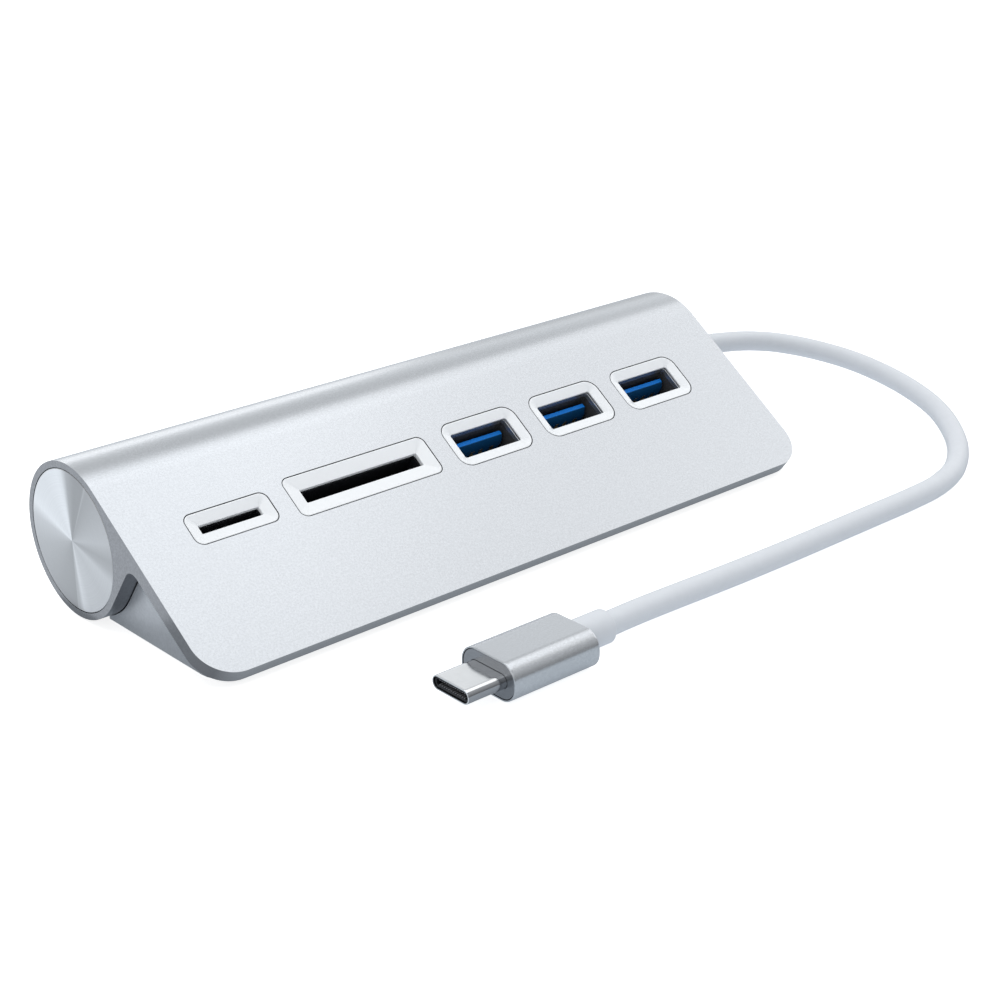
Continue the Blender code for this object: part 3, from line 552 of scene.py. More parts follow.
def turned_disc():
    """Fine turning marks as rings, and a painted reflection: the fan of light that turning marks
    throw.
    """
    made = Surface("turned_aluminium", (0.6, 0.62, 0.65), 0.36, 1.0)
    split = made.node("ShaderNodeSeparateXYZ")
    made.link(made.place, split.inputs["Vector"])
    across = from_axis(made, split.outputs["Y"], AXIS_Y)
    up = from_axis(made, split.outputs["Z"], AXIS_Z)
    mix = made.node("ShaderNodeMix", data_type="RGBA", blend_type="MULTIPLY")
    mix.inputs[0].default_value = 1.0
    made.link(painted_reflection_sectors(made, across, up), mix.inputs[MIX_A])
    made.link(disc_rings(made, across, up), mix.inputs[MIX_B])
    made.link(mix.outputs[MIX_RESULT], made.shader.inputs["Base Color"])
    return made.material


def gloss_white():
    made = Surface("white_gloss", (0.92, 0.93, 0.945), 0.2)
    made.shade(made.noise(3 * MM, 2.0), 0.01)
    made.scuff(made.noise(0.8 * MM, 3.0), 0.03)
    made.relief(made.noise(1.2 * MM, 1.0), 0.002 * MM, 0.4)
    made.set("Coat Weight", 0.15)
    made.set("Coat Roughness", 0.05)
    return made.material


def satin_white():
    made = Surface("white_cable", (0.715, 0.735, 0.77), 0.42)
    made.shade(made.noise(1.5 * MM, 2.0), 0.012)
    made.relief(made.noise(0.12 * MM, 2.0), 0.004 * MM, 0.5)
    return made.material


def matt_plastic(name, colour, roughness=0.5, grain=0.2 * MM, metallic=0.0, level=0.5):
    made = Surface(name, colour, roughness, metallic)
    made.set("Specular IOR Level", level)
    fine = made.noise(grain, 3.0)
    made.shade(fine, 0.06)
    made.scuff(made.noise(2 * MM, 2.0), 0.05)
    made.relief(fine, 0.01 * MM, 0.6)
    return made.material


def steel(name, colour, roughness):
    made = Surface(name, colour, roughness, 1.0)
    lines = made.noise(0.05 * MM, 3.0, (60, 1, 1))
    made.shade(made.noise(1.5 * MM), 0.02)
    made.scuff(lines, 0.03)
    made.relief(lines, 0.001 * MM, 0.4)
    return made.material


def gold():
    made = Surface("contact_gold", (0.34, 0.29, 0.20), 0.34, 1.0)
    made.shade(made.noise(0.4 * MM, 3.0), 0.1)
    made.scuff(made.noise(0.1 * MM, 2.0), 0.06)
    return made.material


def circuit_board():
    made = Surface("board_green", (0.02, 0.15, 0.08), 0.35)
    tracks = made.node("ShaderNodeTexVoronoi", distance="MANHATTAN")
    tracks.inputs["Scale"].default_value = 1 / (2.5 * MM)
    made.link(made.place, tracks.inputs["Vector"])
    stops = [(0.0, (0.03, 0.20, 0.10)), (0.5, (0.015, 0.12, 0.06))]
    made.link(made.ramp(tracks.outputs["Distance"], stops), made.shader.inputs["Base Color"])
    made.relief(tracks.outputs["Distance"], 0.02 * MM, 0.4)
    return made.material


def make_materials():
    return {
        "blasted_aluminium": blasted_aluminium("blasted_aluminium", (0.725, 0.745, 0.775)),
        # A darker copy of the blasted aluminium for sawn ends and cut faces: painted shade
        "shaded_cut_aluminium": blasted_aluminium("shaded_cut_aluminium", (0.285, 0.285, 0.295), 0.1),
        "edge_aluminium_painted_light": milled_edge(),
        # A still darker copy for the wall and fillet under the plate: painted shade
        "under_plate_shade_aluminium": blasted_aluminium("under_plate_shade_aluminium", (0.225, 0.235, 0.255), 0.1),
        "turned_aluminium": turned_disc(),
        "white_gloss": gloss_white(),
        # Dark grey for the white bezels' outer walls: painted shade in the seam
        "seam_shade_grey": matt_plastic("seam_shade_grey", (0.10, 0.10, 0.11)),
        "white_cable": satin_white(),
        "cover_grey": matt_plastic("cover_grey", (0.52, 0.53, 0.55), 0.4, 0.4 * MM, 0.8),
        "black_rubber": matt_plastic("black_rubber", (0.02, 0.02, 0.022), 0.85, 0.3 * MM),
        "polished_steel": steel("polished_steel", (0.76, 0.77, 0.79), 0.16),
        # Dark and mid grey for the inside of the USB sleeves: painted shade
        "sleeve_deep_shade": matt_plastic("sleeve_deep_shade", (0.10, 0.10, 0.10), 0.45, 0.2 * MM, 0.3),
        "sleeve_half_shade": matt_plastic("sleeve_half_shade", (0.30, 0.31, 0.33), 0.4, 0.2 * MM, 0.7),
        "ridge_grey": matt_plastic("ridge_grey", (0.20, 0.20, 0.21), 0.4),
        "tip_steel": steel("tip_steel", (0.96, 0.97, 0.98), 0.17),
        # A darker copy of the tip's steel for its rounded sides: painted shade
        "tip_side_shade_steel": steel("tip_side_shade_steel", (0.46, 0.47, 0.49), 0.17),
        "face_aluminium": blasted_aluminium("face_aluminium", (0.39, 0.40, 0.42)),
        "port_blue": matt_plastic("port_blue", (0.002, 0.20, 0.72), 0.5, level=0.2),
        "shaded_blue": matt_plastic("shaded_blue", (0.002, 0.08, 0.23), 0.5, level=0.3),
        "black_plastic": matt_plastic("black_plastic", (0.016, 0.017, 0.021), 0.5),
        "contact_gold": gold(),
        "board_green": circuit_board(),
        "ceramic": matt_plastic("ceramic", (0.42, 0.30, 0.18), 0.6, 0.1 * MM),
    }


# --- camera and cable ---------------------------


def make_camera():
    camera = bpy.data.objects.new("camera", bpy.data.cameras.new("camera"))
    bpy.context.collection.objects.link(camera)
    camera.data.lens = CAMERA_LENS
    camera.data.sensor_width = 36
    camera.data.clip_start = 0.01
    camera.data.clip_end = 100
    camera.location = CAMERA_PLACE
    camera.rotation_euler = Vector(CAMERA_FACING).to_track_quat("-Z", "Y").to_euler()
    bpy.context.scene.camera = camera


def smooth_route(points, count):
    """Evenly spaced points on a smooth curve through the given ones (Catmull-Rom)."""
    nodes = [Vector(point) for point in points]
    ends = [2 * nodes[0] - nodes[1]] + nodes + [2 * nodes[-1] - nodes[-2]]
    dense = []
    for index in range(1, len(ends) - 2):
        before, start, end, after = ends[index - 1 : index + 3]
        for step in range(SPLINE_STEPS):
            t = step / SPLINE_STEPS
            pull = (end - before) * t + (2 * before - 5 * start + 4 * end - after) * t**2
            twist = (3 * start - before - 3 * end + after) * t**3
            dense.append(start + (pull + twist) / 2)
    dense.append(nodes[-1])
    lengths = [0.0]
    for first, second in zip(dense, dense[1:]):
        lengths.append(lengths[-1] + (second - first).length)
    spaced = []
    index = 0
    for number in range(count):
        target = lengths[-1] * number / (count - 1)
        while index < len(dense) - 2 and lengths[index + 1] < target:
            index += 1
        share = (target - lengths[index]) / (lengths[index + 1] - lengths[index])
        spaced.append(dense[index].lerp(dense[index + 1], share))
    return spaced


def make_cable(material):
    curve = bpy.data.curves.new("cable_lead", "CURVE")
    curve.dimensions = "3D"
    curve.bevel_depth = CABLE_RADIUS
    curve.bevel_resolution = 8
    curve.use_fill_caps = True
    line = smooth_route(CABLE_ROUTE, CABLE_POINTS)
    spline = curve.splines.new("POLY")
    spline.points.add(len(line) - 1)
    for point, position in zip(spline.points, line):
        point.co = (*position, 1.0)
    lead = bpy.data.objects.new("cable_lead", curve)
    bpy.context.collection.objects.link(lead)
    return attach(lead, "white_cable", ["cable"], material)


# --- housing ------------------------------------


def section_point(run, depth):
    """A point of the extrusion's section, down the plate and below its surface."""
    point = plate_point(0, run, depth)
    return point.y, point.z


def housing_section():
    """The extrusion's outline: plate, fillet under it, and the tube round to the plate."""
    points = [section_point(PLATE_RUN, 0), section_point(PLATE_RUN, PLATE_THICKNESS)]
    for number in range(FILLET_STEPS + 1):
        angle = math.pi / 2 * (1 - number / FILLET_STEPS)
        run = TUBE_RADIUS + WALL_FILLET * (1 - math.cos(angle))
        depth = PLATE_THICKNESS + WALL_FILLET * (1 - math.sin(angle))
        points.append(section_point(run, depth))
    for number in range(TUBE_STEPS + 1):
        angle = math.radians(270 * number / TUBE_STEPS)
        run = TUBE_RADIUS * math.cos(angle)
        points.append(section_point(run, TUBE_RADIUS * (1 + math.sin(angle))))
    return points


def add_corner_waste(bm, side):
    """The waste outside one rounded front corner of the plate, in the plate's frame."""
    centre_x = side * (LENGTH / 2 - PLATE_CORNER)
    centre_y = -PLATE_RUN + PLATE_CORNER
    over = 2 * MM
    outline = []
    for step in range(CORNER_STEPS + 1):
        angle = math.pi / 2 * step / CORNER_STEPS
        x = centre_x + side * PLATE_CORNER * math.sin(angle)
        outline.append((x, centre_y - PLATE_CORNER * math.cos(angle)))
    outline.append((side * (LENGTH / 2 + over), centre_y))
    outline.append((side * (LENGTH / 2 + over), -PLATE_RUN - over))
    outline.append((centre_x, -PLATE_RUN - over))
    add_loft(bm, [level_ring(outline, -over), level_ring(outline, PLATE_THICKNESS + over)])


def plate_waste():
    """What is cut from the plate: the ports' openings and its two front corners."""
    bm = bmesh.new()
    for side in (-1, 1):
        add_corner_waste(bm, side)
    for name, (cutout, _, _) in PORTS.items():
        centre = port_centre(name)
        outline = [(centre + a, b - PORT_RUN) for a, b in rounded_rectangle(cutout)]
        add_loft(bm, [level_ring(outline, depth) for depth in (-MM, 4 * MM)])
    bm.transform(plate_frame())
    return bm


def port_centre(name):
    low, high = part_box(name)
    return (low[0] + high[0]) / 2


def make_housing(materials):
    """The extrusion, with its bore, the ports' cutouts and the plate's rounded front corners."""
    section = housing_section()
    rings = [upright_ring(section, side * LENGTH / 2) for side in (-1, 1)]
    housing = new_object("extruded_housing", loft(rings))
    bore = turned([(-LENGTH, BORE_RADIUS), (LENGTH, BORE_RADIUS)], BORE_STEPS)
    bore.transform(Matrix.Translation((0, AXIS_Y, AXIS_Z)))
    bay = box(BAY_LOW, BAY_HIGH)
    bay.transform(plate_frame())
    carve(housing, bore, bay, plate_waste())
    mark_cut_faces(housing.data)
    soften(housing, 0.05 * MM, 2)
    attach(
        housing, "blasted_aluminium", ["housing"],
        materials["blasted_aluminium"], materials["shaded_cut_aluminium"],
        materials["under_plate_shade_aluminium"], materials["edge_aluminium_painted_light"],
    )


# Material slots of the housing; its blasted faces have slot 0
CUT_SLOT = 1
# The wall and fillet under the plate take the painted shade slot
INNER_SHADE_SLOT = 2
EDGE_SLOT = 3


def mark_cut_faces(mesh):
    """The sawn ends and the milled edges of the plate get a darker copy of the aluminium, painted
    shade, and the corner under the plate gets a darker copy still, painted shade under the plate."""
    to_plate = plate_frame().inverted()
    just_under = -PLATE_THICKNESS + 0.01 * MM
    for face in mesh.polygons:
        place = to_plate @ face.center
        normal = to_plate.to_3x3() @ face.normal
        milled = place.y < -TUBE_RADIUS - WALL_FILLET and abs(normal.z) < 0.1
        below = place.z < just_under
        wall = below and normal.y < -0.5
        fillet = below and normal.z < -0.1 and place.y < -TUBE_RADIUS
        if milled and place.y < -PLATE_RUN + PLATE_CORNER:
            face.material_index = EDGE_SLOT
        elif abs(face.normal.x) > 0.7 or milled:
            face.material_index = CUT_SLOT
        elif wall or fillet:
            face.material_index = INNER_SHADE_SLOT


# --- end caps -----------------------------------


def grooved_face():
    """Profile points from the rim's chamfer in to the centre, over fine turning grooves."""
    pitch = 0.165 * MM
    depth = 0.006 * MM
    points = [
        (-0.12 * MM, DISC_RADIUS), (-0.04 * MM, DISC_RADIUS - 0.05 * MM),
        (0, DISC_RADIUS - 0.13 * MM),
    ]
    radius = DISC_RADIUS - 0.2 * MM
    while radius > 0.3 * MM:
        points.append((0, radius))
        points.append((-depth, radius - pitch / 2))
        radius -= pitch
    return points


def make_cap(name, node, profile, hollow, place, materials):
    solid = turned(profile, CAP_STEPS, hollow)
    solid.transform(place)
    disc = new_object(name, solid)
    soften(disc, 0, angle=5, weighted=False)
    attach(disc, "turned_aluminium", [node], materials["turned_aluminium"])


def make_caps(materials):
    """The left cap is whole, and the right one has a hole for the cable."""
    face = grooved_face()
    skirt = [
        (-CAP_THICKNESS, CAP_INNER_RADIUS), (-CAP_REACH, CAP_INNER_RADIUS),
        (-CAP_REACH, DISC_RADIUS - SEAM), (-CAP_THICKNESS, DISC_RADIUS - SEAM),
        (-CAP_THICKNESS, DISC_RADIUS),
    ]
    turn = Euler((0, 0, math.pi)).to_matrix().to_4x4()
    left = Matrix.Translation((-LENGTH / 2, AXIS_Y, AXIS_Z)) @ turn
    profile = [(-CAP_THICKNESS, 0.1 * MM)] + skirt + face + [(0, 0.05 * MM)]
    make_cap("turned_cap_left", "left_end_cap", profile, False, left, materials)

    right = Matrix.Translation((LENGTH / 2, AXIS_Y, AXIS_Z))
    profile = skirt + [point for point in face if point[1] > CABLE_HOLE_RADIUS + 0.25 * MM]
    profile += [
        (0, CABLE_HOLE_RADIUS + 0.1 * MM), (-0.1 * MM, CABLE_HOLE_RADIUS),
        (-CAP_THICKNESS, CABLE_HOLE_RADIUS),
    ]
    make_cap("turned_cap_right", "right_end_cap", profile, True, right, materials)


# --- ports --------------------------------------


def make_bezel(name, materials):
    """A glossy frame, dished towards its opening; its outer wall is painted dark grey, painted
    shade in the seam.
    """
    cutout, opening, lip = PORTS[name]
    outer = inset(cutout, PORT_SEAM)
    pocket = inset(opening, -0.4 * MM)
    # The outer wall, a rounded rim, the dished face, and the opening with a pocket behind it
    stages = [
        (outer, BEZEL_DEPTH),
        (outer, 0.16 * MM),
        (inset(outer, 0.05 * MM), 0.05 * MM),
        (inset(outer, 0.10 * MM), 0.025 * MM),
        (inset(outer, 0.17 * MM), 0.01 * MM),
        (inset(outer, 0.27 * MM), 0.02 * MM),
        (inset(outer, 0.36 * MM), 0.05 * MM),
        (inset(opening, -0.10 * MM), BEZEL_DISH - 0.05 * MM),
        (inset(opening, -0.03 * MM), BEZEL_DISH),
        (opening, BEZEL_DISH + 0.05 * MM),
        (opening, lip),
        (pocket, lip),
        (pocket, BEZEL_DEPTH),
    ]
    rings = [level_ring(rounded_rectangle(shape), depth) for shape, depth in stages]
    # The outer wall's two bands take the dark grey: painted shade in the seam
    slots = [1, 1] + [0] * (len(stages) - 2)
    place = plate_frame(port_centre(name), PORT_RUN)
    bezel = new_object(name.replace("bezel", "frame"), loft(rings, True, slots), place)
    soften(bezel, 0, angle=40)
    attach(bezel, "white_gloss", [name], materials["white_gloss"], materials["seam_shade_grey"])


def make_usb_shell(number, materials):
    """A steel sleeve with a rounded rim. Inside, it is painted darker the deeper it goes: painted
    shade.
    """
    x = port_centre(f"usb_bezel_{number}")
    inner = inset(SLEEVE, SLEEVE_WALL)
    stages = [
        (SLEEVE, USB_DEPTH),
        (SLEEVE, SLEEVE_RIM + 0.12 * MM),
        (inset(SLEEVE, 0.05 * MM), SLEEVE_RIM + 0.03 * MM),
        (inset(SLEEVE, SLEEVE_WALL / 2), SLEEVE_RIM),
        (inset(SLEEVE, SLEEVE_WALL - 0.05 * MM), SLEEVE_RIM + 0.03 * MM),
        (inner, SLEEVE_RIM + 0.12 * MM),
        (inner, SLEEVE_RIM + 0.9 * MM),
        (inner, USB_DEPTH),
    ]
    rings = [level_ring(rounded_rectangle(shape, 5), depth) for shape, depth in stages]
    # Painted shade inside: a mid grey band behind the rim, then dark grey deeper in
    slots = [0, 0, 0, 0, 0, 2, 1, 0]
    shell = new_object(f"usb_sleeve_{number}", loft(rings, True, slots), plate_frame(x, PORT_RUN))
    soften(shell, 0, angle=40)
    attach(
        shell, "polished_steel", [f"usb_shell_{number}"],
        materials["polished_steel"], materials["sleeve_deep_shade"], materials["sleeve_half_shade"],
    )


def make_usb_tongue(number, materials):
    """The blue tongue; its face away from the light is darker and holds four gold contacts."""
    x = port_centre(f"usb_bezel_{number}")
    section = [
        (-TONGUE_HALF_BASE, -USB_DEPTH),
        (TONGUE_HALF_BASE, -USB_DEPTH),
        (TONGUE_HALF_BASE, -TONGUE_ROOT),
        (TONGUE_TOP, -TONGUE_ROOT),
        (TONGUE_TOP, -TONGUE_FRONT),
        (TONGUE_EDGE, -TONGUE_FRONT),
        (TONGUE_UNDER, -TONGUE_SLOPE_END),
        (TONGUE_UNDER, -TONGUE_ROOT),
        (-TONGUE_HALF_BASE, -TONGUE_ROOT),
    ]
    tongue = loft([upright_ring(section, side * TONGUE_HALF_WIDTH) for side in (-1, 1)])
    for place in PAD_PLACES:
        low = (place - PAD_HALF_WIDTH, TONGUE_UNDER / 2, -TONGUE_ROOT + 0.5 * MM)
        high = (place + PAD_HALF_WIDTH, 0.4 * MM, -TONGUE_SLOPE_END - 0.55 * MM)
        copy_solid(box(low, high), tongue, 2)
    tongue = new_object(f"usb_blade_{number}", tongue, plate_frame(x, PORT_RUN))
    for face in tongue.data.polygons:
        shaded = face.normal.y < -0.3 and face.center.z > -TONGUE_ROOT + 0.4 * MM
        if shaded and face.material_index == 0:
            face.material_index = 1
    soften(tongue, 0.10 * MM, 3)
    attach(
        tongue, "port_blue", [f"usb_tongue_{number}"],
        materials["port_blue"], materials["shaded_blue"], materials["contact_gold"],
    )


def make_ports(materials):
    for name in PORTS:
        make_bezel(name, materials)
    for number in range(1, 4):
        make_usb_shell(number, materials)
        make_usb_tongue(number, materials)


# --- plug ---------------------------------------


def plug_loft(stages, hollow=False, slots=None):
    """Skin rounded rectangles, each given with its place along the plug."""
    rings = [upright_ring(rounded_rectangle(shape, 12), x) for shape, x in stages]
    return loft(rings, hollow, slots)


def make_plug_body(materials):
    """The aluminium sleeve, with a round hole for the collar in its end wall."""
    inner = inset(PLUG_BODY, PLUG_WALL)
    end = PLUG_BODY_LENGTH
    # The outer side, the end wall with its hole, the inner side, and the rounded mouth. The end
    # wall and the inner side are cut faces, given the darker cut aluminium as painted shade.
    stages = [
        (PLUG_BODY, 0.14 * MM),
        (PLUG_BODY, 0.4 * MM),
        (PLUG_BODY, end - 0.3 * MM),
        (PLUG_BODY, end - 0.06 * MM),
        (inset(PLUG_BODY, 0.02 * MM), end - 0.02 * MM),
        (inset(PLUG_BODY, 0.06 * MM), end),
        (PLUG_END_HOLE, end),
        (PLUG_END_HOLE, end - PLUG_END_WALL),
        (inner, end - PLUG_END_WALL),
        (inner, 0.06 * MM),
        (inset(inner, -0.06 * MM), 0),
        (inset(PLUG_BODY, 0.14 * MM), 0),
        (inset(PLUG_BODY, 0.04 * MM), 0.04 * MM),
    ]
    slots = [0] * 5 + [1] * 4 + [0] * 4
    body = new_object("plug_sleeve", plug_loft(stages, True, slots), plug_frame())
    soften(body, 0, angle=50)
    return attach(
        body, "blasted_aluminium", ["plug_body"],
        materials["blasted_aluminium"], materials["shaded_cut_aluminium"],
    )


def make_plug_face(materials):
    """The face inside the sleeve's mouth, with a slot for the tip."""
    rim = inset(PLUG_BODY, PLUG_WALL + 0.1 * MM)
    slot = inset(PLUG_TIP, -PLUG_SLOT_GAP)
    stages = [
        (rim, PLUG_FACE_DEPTH),
        (rim, 0.14 * MM),
        (inset(rim, 0.04 * MM), 0.1 * MM),
        (slot, 0.1 * MM),
        (slot, PLUG_FACE_DEPTH),
    ]
    plate = new_object("plug_front_plate", plug_loft(stages, True), plug_frame())
    soften(plate, 0, angle=30)
    return attach(plate, "polished_steel", ["plug_face"], materials["face_aluminium"])


def make_plug_tip(materials):
    """The tip's steel shell. Its rounded sides get a darker copy of its steel, painted shade, and
    its flat faces keep the bright steel.
    """
    inner = inset(PLUG_TIP, PLUG_TIP_WALL)
    front = -PLUG_TIP_REACH
    stages = [
        (PLUG_TIP, PLUG_TIP_ROOT),
        (PLUG_TIP, front + 0.4 * MM),
        (PLUG_TIP, front + 0.14 * MM),
        (inset(PLUG_TIP, 0.02 * MM), front + 0.04 * MM),
        (inset(PLUG_TIP, 0.05 * MM), front),
        (inset(PLUG_TIP, 0.20 * MM), front),
        (inner, front + 0.05 * MM),
        (inner, PLUG_TIP_ROOT),
    ]
    shell = new_object("plug_tip_sleeve", plug_loft(stages, True), plug_frame())
    for face in shell.data.polygons:
        side = abs(face.normal.y) > 0.62 and abs(face.normal.x) < 0.3
        face.material_index = 1 if side else 0
    soften(shell, 0, angle=50)
    return attach(
        shell, "polished_steel", ["plug_tip_shell"],
        materials["tip_steel"], materials["tip_side_shade_steel"],
    )


def make_plug_insert(materials):
    """The black block in the tip, with contact ridges along its cavity's top and bottom."""
    block = inset(PLUG_TIP, PLUG_TIP_WALL + 0.12 * MM)
    mouth = -PLUG_TIP_REACH + 0.3 * MM
    back = PLUG_TIP_ROOT - 0.3 * MM
    insert = plug_loft([
        (block, back), (block, mouth), (PLUG_CAVITY, mouth), (PLUG_CAVITY, -1.2 * MM),
    ])
    for number in range(RIDGES_IN_ROW):
        across = (number - (RIDGES_IN_ROW - 1) / 2) * RIDGE_PITCH
        for side in (-1, 1):
            up = side * RIDGE_PLACE
            low = (mouth + 0.05 * MM, across - RIDGE_HALF_WIDTH, up - RIDGE_HALF_HEIGHT)
            high = (mouth + RIDGE_REACH, across + RIDGE_HALF_WIDTH, up + RIDGE_HALF_HEIGHT)
            copy_solid(box(low, high), insert, 1)
    insert = new_object("plug_tip_insert", insert, plug_frame())
    soften(insert, 0.04 * MM, 2)
    return attach(
        insert, "black_plastic", ["plug_insert"],
        materials["black_plastic"], materials["ridge_grey"],
    )


def make_collar(name, node, profile, matrix, material):
    collar = new_object(name, turned(profile, COLLAR_STEPS), matrix)
    soften(collar, 0, angle=50)
    return attach(collar, "white_cable", [node], material)


def rounded_nose(end, radius, nose, drop):
    """Profile points that round a sleeve's end off, from full radius down by drop."""
    points = []
    for step in range(NOSE_STEPS + 1):
        angle = math.pi / 2 * step / NOSE_STEPS
        along = end - nose + nose * math.sin(angle)
        points.append((along, radius - drop * (1 - math.cos(angle))))
    return points


def make_strain_reliefs(materials):
    """The plug's collar, and the gland where the cable leaves the hub."""
    start = PLUG_BODY_LENGTH + SEAM
    end = PLUG_BODY_LENGTH + COLLAR_LENGTH
    inside = PLUG_BODY_LENGTH - PLUG_END_WALL
    profile = [(inside, COLLAR_NECK_RADIUS), (start, COLLAR_NECK_RADIUS)]
    profile += [(start, COLLAR_RADIUS - 0.1 * MM), (start + 0.1 * MM, COLLAR_RADIUS)]
    profile += rounded_nose(end, COLLAR_RADIUS, nose=0.4 * MM, drop=0.7 * MM)
    white = materials["white_cable"]
    collar = make_collar("plug_strain_relief", "plug_collar", profile, plug_frame(), white)

    flange = -GLAND_FLANGE_DEPTH
    profile = [
        (flange - GLAND_FLANGE_THICKNESS, GLAND_FLANGE_RADIUS), (flange, GLAND_FLANGE_RADIUS),
        (flange, GLAND_RADIUS),
    ]
    profile += rounded_nose(GLAND_REACH, GLAND_RADIUS, nose=0.7 * MM, drop=0.56 * MM)
    centre = Matrix.Translation((LENGTH / 2, AXIS_Y, AXIS_Z))
    gland = make_collar("cable_strain_relief", "cable_gland", profile, centre, white)
    return collar, gland


# --- screws of the cover ------------------------


def cross_outline(reach, width):
    """Points round a plus sign, anticlockwise."""
    a = reach / 2
    b = width / 2
    return [
        (a, -b), (a, b), (b, b), (b, a), (-b, a), (-b, b),
        (-a, b), (-a, -b), (-b, -b), (-b, -a), (b, -a), (b, -b),
    ]


def make_cover_screws(material):
    """Countersunk screws, each with a cross recess in its head."""
    for number in (1, 2, 3, 4):
        node = f"cover_screw_{number}"
        low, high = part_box(node)
        radius = (high[0] - low[0]) / 2
        profile = [
            (0, radius - 0.12 * MM), (0.04 * MM, radius - 0.03 * MM), (0.12 * MM, radius),
            (0.2 * MM, radius), (0.85 * MM, SCREW_SHANK_RADIUS),
            (high[2] - low[2], SCREW_SHANK_RADIUS),
        ]
        screw = turned(profile, SCREW_STEPS)
        place = Matrix.Translation(((low[0] + high[0]) / 2, (low[1] + high[1]) / 2, low[2]))
        screw.transform(place @ Euler((0, -math.pi / 2, 0)).to_matrix().to_4x4())
        mouth = level_ring(cross_outline(*RECESS_MOUTH), 0.1 * MM)
        bottom = level_ring(cross_outline(*RECESS_BOTTOM), -RECESS_DEPTH)
        recess = loft([mouth, bottom])
        recess.transform(place @ Euler((0, 0, number * 0.6)).to_matrix().to_4x4())
        bmesh.ops.recalc_face_normals(recess, faces=recess.faces)
        made = new_object(f"cover_screw_head_{number}", screw)
        carve(made, recess)
        soften(made, 0, angle=30)
        attach(made, "polished_steel", [node], material)


# --- CAD nodes that stay ------------------------


def dress_cad_nodes(materials):
    """Every CAD node that stays visible gets its slot's material, and fine edges where it
    can be seen. The cover swells a little, to meet the housing."""
    slots = {part["node"]: part["material_slot"] for part in frame["record"]["subparts"]}
    for name, node in frame["nodes"].items():
        if node.hide_render:
            continue
        node.data.materials.clear()
        node.data.materials.append(materials[slots[name]])
        if name == "bottom_cover":
            fit = node.modifiers.new("fit", "DISPLACE")
            fit.mid_level = 0
            fit.strength = COVER_SWELL
        if name in EDGE_WIDTHS:
            flatten = node.modifiers.new("flatten", "DECIMATE")
            flatten.decimate_type = "DISSOLVE"
            flatten.angle_limit = math.radians(1)
            bevel = node.modifiers.new("edges", "BEVEL")
            bevel.width = EDGE_WIDTHS[name]
            bevel.segments = 2
            bevel.limit_method = "ANGLE"
            bevel.angle_limit = math.radians(35)


# --- stage --------------------------------------


# Height on the sky, from 0 at the horizon to 1 overhead, and how light it is there
FRONT_SKY = [
    (0.0, 0.17), (0.35, 0.40), (0.55, 0.52), (0.69, 0.62), (0.78, 0.22), (0.88, 1.20),
    (1.0, 0.92),
]
REAR_SKY = [
    (0.0, 0.6), (0.15, 0.6), (0.30, 0.90), (0.42, 0.87), (0.54, 0.66), (0.66, 0.59),
    (0.78, 0.47), (0.89, 1.48), (1.0, 0.92),
]
SKY_TINT = (0.955, 0.98, 1.0)
SKY_STRENGTH = 6.0
TOWARDS_REAR = (0.6, 0.8, 0)
REAR_START = 0.05
REAR_FULL = 0.4


def mix_colours(tree, factor, first, second):
    """Mix from one colour to another. Each is a node's output, or a colour in a tuple."""
    mix = tree.nodes.new("ShaderNodeMix")
    mix.data_type = "RGBA"
    tree.links.new(factor, mix.inputs["Factor"])
    for socket, colour in ((MIX_A, first), (MIX_B, second)):
        if isinstance(colour, tuple):
            mix.inputs[socket].default_value = (*colour, 1)
        else:
            tree.links.new(colour, mix.inputs[socket])
    return mix.outputs[MIX_RESULT]


def sky_ramp(tree, height, tones):
    stops = []
    for place, tone in tones:
        stops.append((place, [tone * tint / SKY_STRENGTH for tint in SKY_TINT]))
    return colour_ramp(tree, height, stops)


def make_sky():
    """A studio's walls and ceiling. In front the wall is darker low down, and behind the hub it
    has a light strip low down. A darker band parts each wall from the bright ceiling. To the
    camera all of it is white."""
    world = bpy.data.worlds.new("studio")
    world.use_nodes = True
    tree = world.node_tree
    place = tree.nodes.new("ShaderNodeTexCoord").outputs["Generated"]
    split = tree.nodes.new("ShaderNodeSeparateXYZ")
    tree.links.new(place, split.inputs["Vector"])
    behind = tree.nodes.new("ShaderNodeVectorMath")
    behind.operation = "DOT_PRODUCT"
    behind.inputs[1].default_value = TOWARDS_REAR
    tree.links.new(place, behind.inputs[0])
    share = tree.nodes.new("ShaderNodeMapRange")
    share.inputs["From Min"].default_value = REAR_START
    share.inputs["From Max"].default_value = REAR_FULL
    tree.links.new(behind.outputs["Value"], share.inputs["Value"])
    front = sky_ramp(tree, split.outputs["Z"], FRONT_SKY)
    rear = sky_ramp(tree, split.outputs["Z"], REAR_SKY)
    sent = mix_colours(tree, share.outputs["Result"], front, rear)
    path = tree.nodes.new("ShaderNodeLightPath")
    white = (1 / SKY_STRENGTH, 1 / SKY_STRENGTH, 1 / SKY_STRENGTH)
    background = tree.nodes["Background"]
    shown = mix_colours(tree, path.outputs["Is Camera Ray"], sent, white)
    tree.links.new(shown, background.inputs["Color"])
    background.inputs["Strength"].default_value = SKY_STRENGTH
    bpy.context.scene.world = world


# The floor's colour and glow, as other rays meet it and as the camera sees it, and its glow for
# rays that left a matt surface
FLOOR_COLOUR = ((0.24, 0.25, 0.26), (0.6, 0.6, 0.6))
FLOOR_GLOW = ((0.27, 0.30, 0.33), (0.82, 0.82, 0.82))
FLOOR_GLOW_TO_MATT = (0.62, 0.66, 0.71)


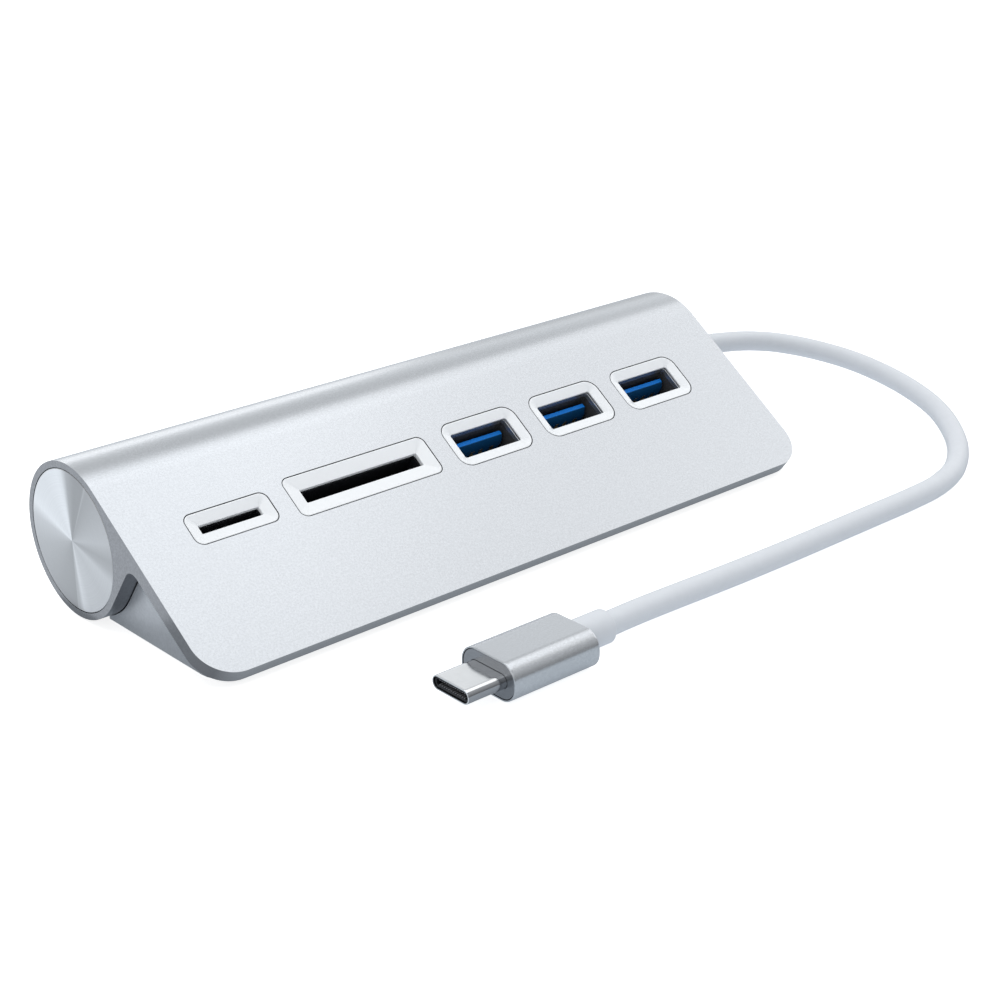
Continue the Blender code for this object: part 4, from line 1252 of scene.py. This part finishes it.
def make_floor():
    """A white floor. It sends less light back than it shows, as a cut-out background does."""
    floor = new_object("floor", box((-20, -20, -0.02), (20, 20, -0.0001)))
    material = bpy.data.materials.new("floor")
    material.use_nodes = True
    tree = material.node_tree
    shader = tree.nodes["Principled BSDF"]
    shader.inputs["Roughness"].default_value = 0.9
    shader.inputs["Specular IOR Level"].default_value = 0.0
    shader.inputs["Emission Strength"].default_value = 1.0
    path = tree.nodes.new("ShaderNodeLightPath")
    colour = mix_colours(tree, path.outputs["Is Camera Ray"], *FLOOR_COLOUR)
    tree.links.new(colour, shader.inputs["Base Color"])
    glow = mix_colours(tree, path.outputs["Is Camera Ray"], *FLOOR_GLOW)
    glow = mix_colours(tree, path.outputs["Is Diffuse Ray"], glow, FLOOR_GLOW_TO_MATT)
    tree.links.new(glow, shader.inputs["Emission Color"])
    material.cycles.emission_sampling = "NONE"
    floor.data.materials.append(material)


PANEL_DISTANCE = 1.2
# A lamp that lies on the floor to the left of the hub and shines up
CARD_SIZE = (0.30, 0.30)
CARD_CORNER = (-0.069, 0.0, 0.0006)
CARD_RADIANCE = 0.5
CARD_COLOUR = (0.9, 0.95, 1.0)


def area_lamp(name, place, rotation, size, radiance, colour=(1.0, 1.0, 1.0)):
    """A softbox that looks this bright."""
    data = bpy.data.lights.new(name, "AREA")
    data.shape = "RECTANGLE"
    data.size, data.size_y = size
    data.energy = radiance * math.pi * size[0] * size[1]
    data.color = colour
    lamp = bpy.data.objects.new(name, data)
    bpy.context.collection.objects.link(lamp)
    lamp.location = place
    lamp.rotation_euler = rotation
    return lamp


def panel(name, azimuth, elevation, size, radiance, colour=(1.0, 1.0, 1.0)):
    """A softbox in a direction from the hub, given in degrees, facing it."""
    turn = math.radians(azimuth)
    rise = math.radians(elevation)
    level = PANEL_DISTANCE * math.cos(rise)
    height = PANEL_DISTANCE * math.sin(rise)
    place = Vector((level * math.cos(turn), level * math.sin(turn), height))
    facing = (-place).to_track_quat("-Z", "Y").to_euler()
    return area_lamp(name, place, facing, size, radiance, colour)


def make_card():
    centre = Vector(CARD_CORNER) + Vector((-CARD_SIZE[0] / 2, CARD_SIZE[1] / 2, 0))
    facing_up = (math.pi, 0, 0)
    card = area_lamp(
        "reflector_card", centre, facing_up, CARD_SIZE, CARD_RADIANCE, CARD_COLOUR
    )
    card.visible_camera = False


def make_stage():
    make_floor()
    make_sky()
    panel("key_panel", azimuth=-3, elevation=38, size=(0.97, 1.07), radiance=0.48)
    panel("rear_strip", azimuth=73, elevation=13, size=(0.87, 0.42), radiance=0.55)
    panel("left_fill", azimuth=185, elevation=22, size=(1.3, 0.8), radiance=0.45)
    overhead = panel(
        "overhead_panel", azimuth=0, elevation=90, size=(1.5, 1.5), radiance=0.89,
        colour=SKY_TINT,
    )
    overhead.visible_glossy = False
    make_card()
    bpy.context.scene.view_settings.view_transform = "Standard"


def main():
    make_camera()
    materials = make_materials()
    cable = make_cable(materials["white_cable"])
    make_housing(materials)
    make_caps(materials)
    make_ports(materials)
    body = make_plug_body(materials)
    plate = make_plug_face(materials)
    shell = make_plug_tip(materials)
    insert = make_plug_insert(materials)
    collar, gland = make_strain_reliefs(materials)
    make_cover_screws(materials["polished_steel"])
    dress_cad_nodes(materials)
    make_stage()


main()
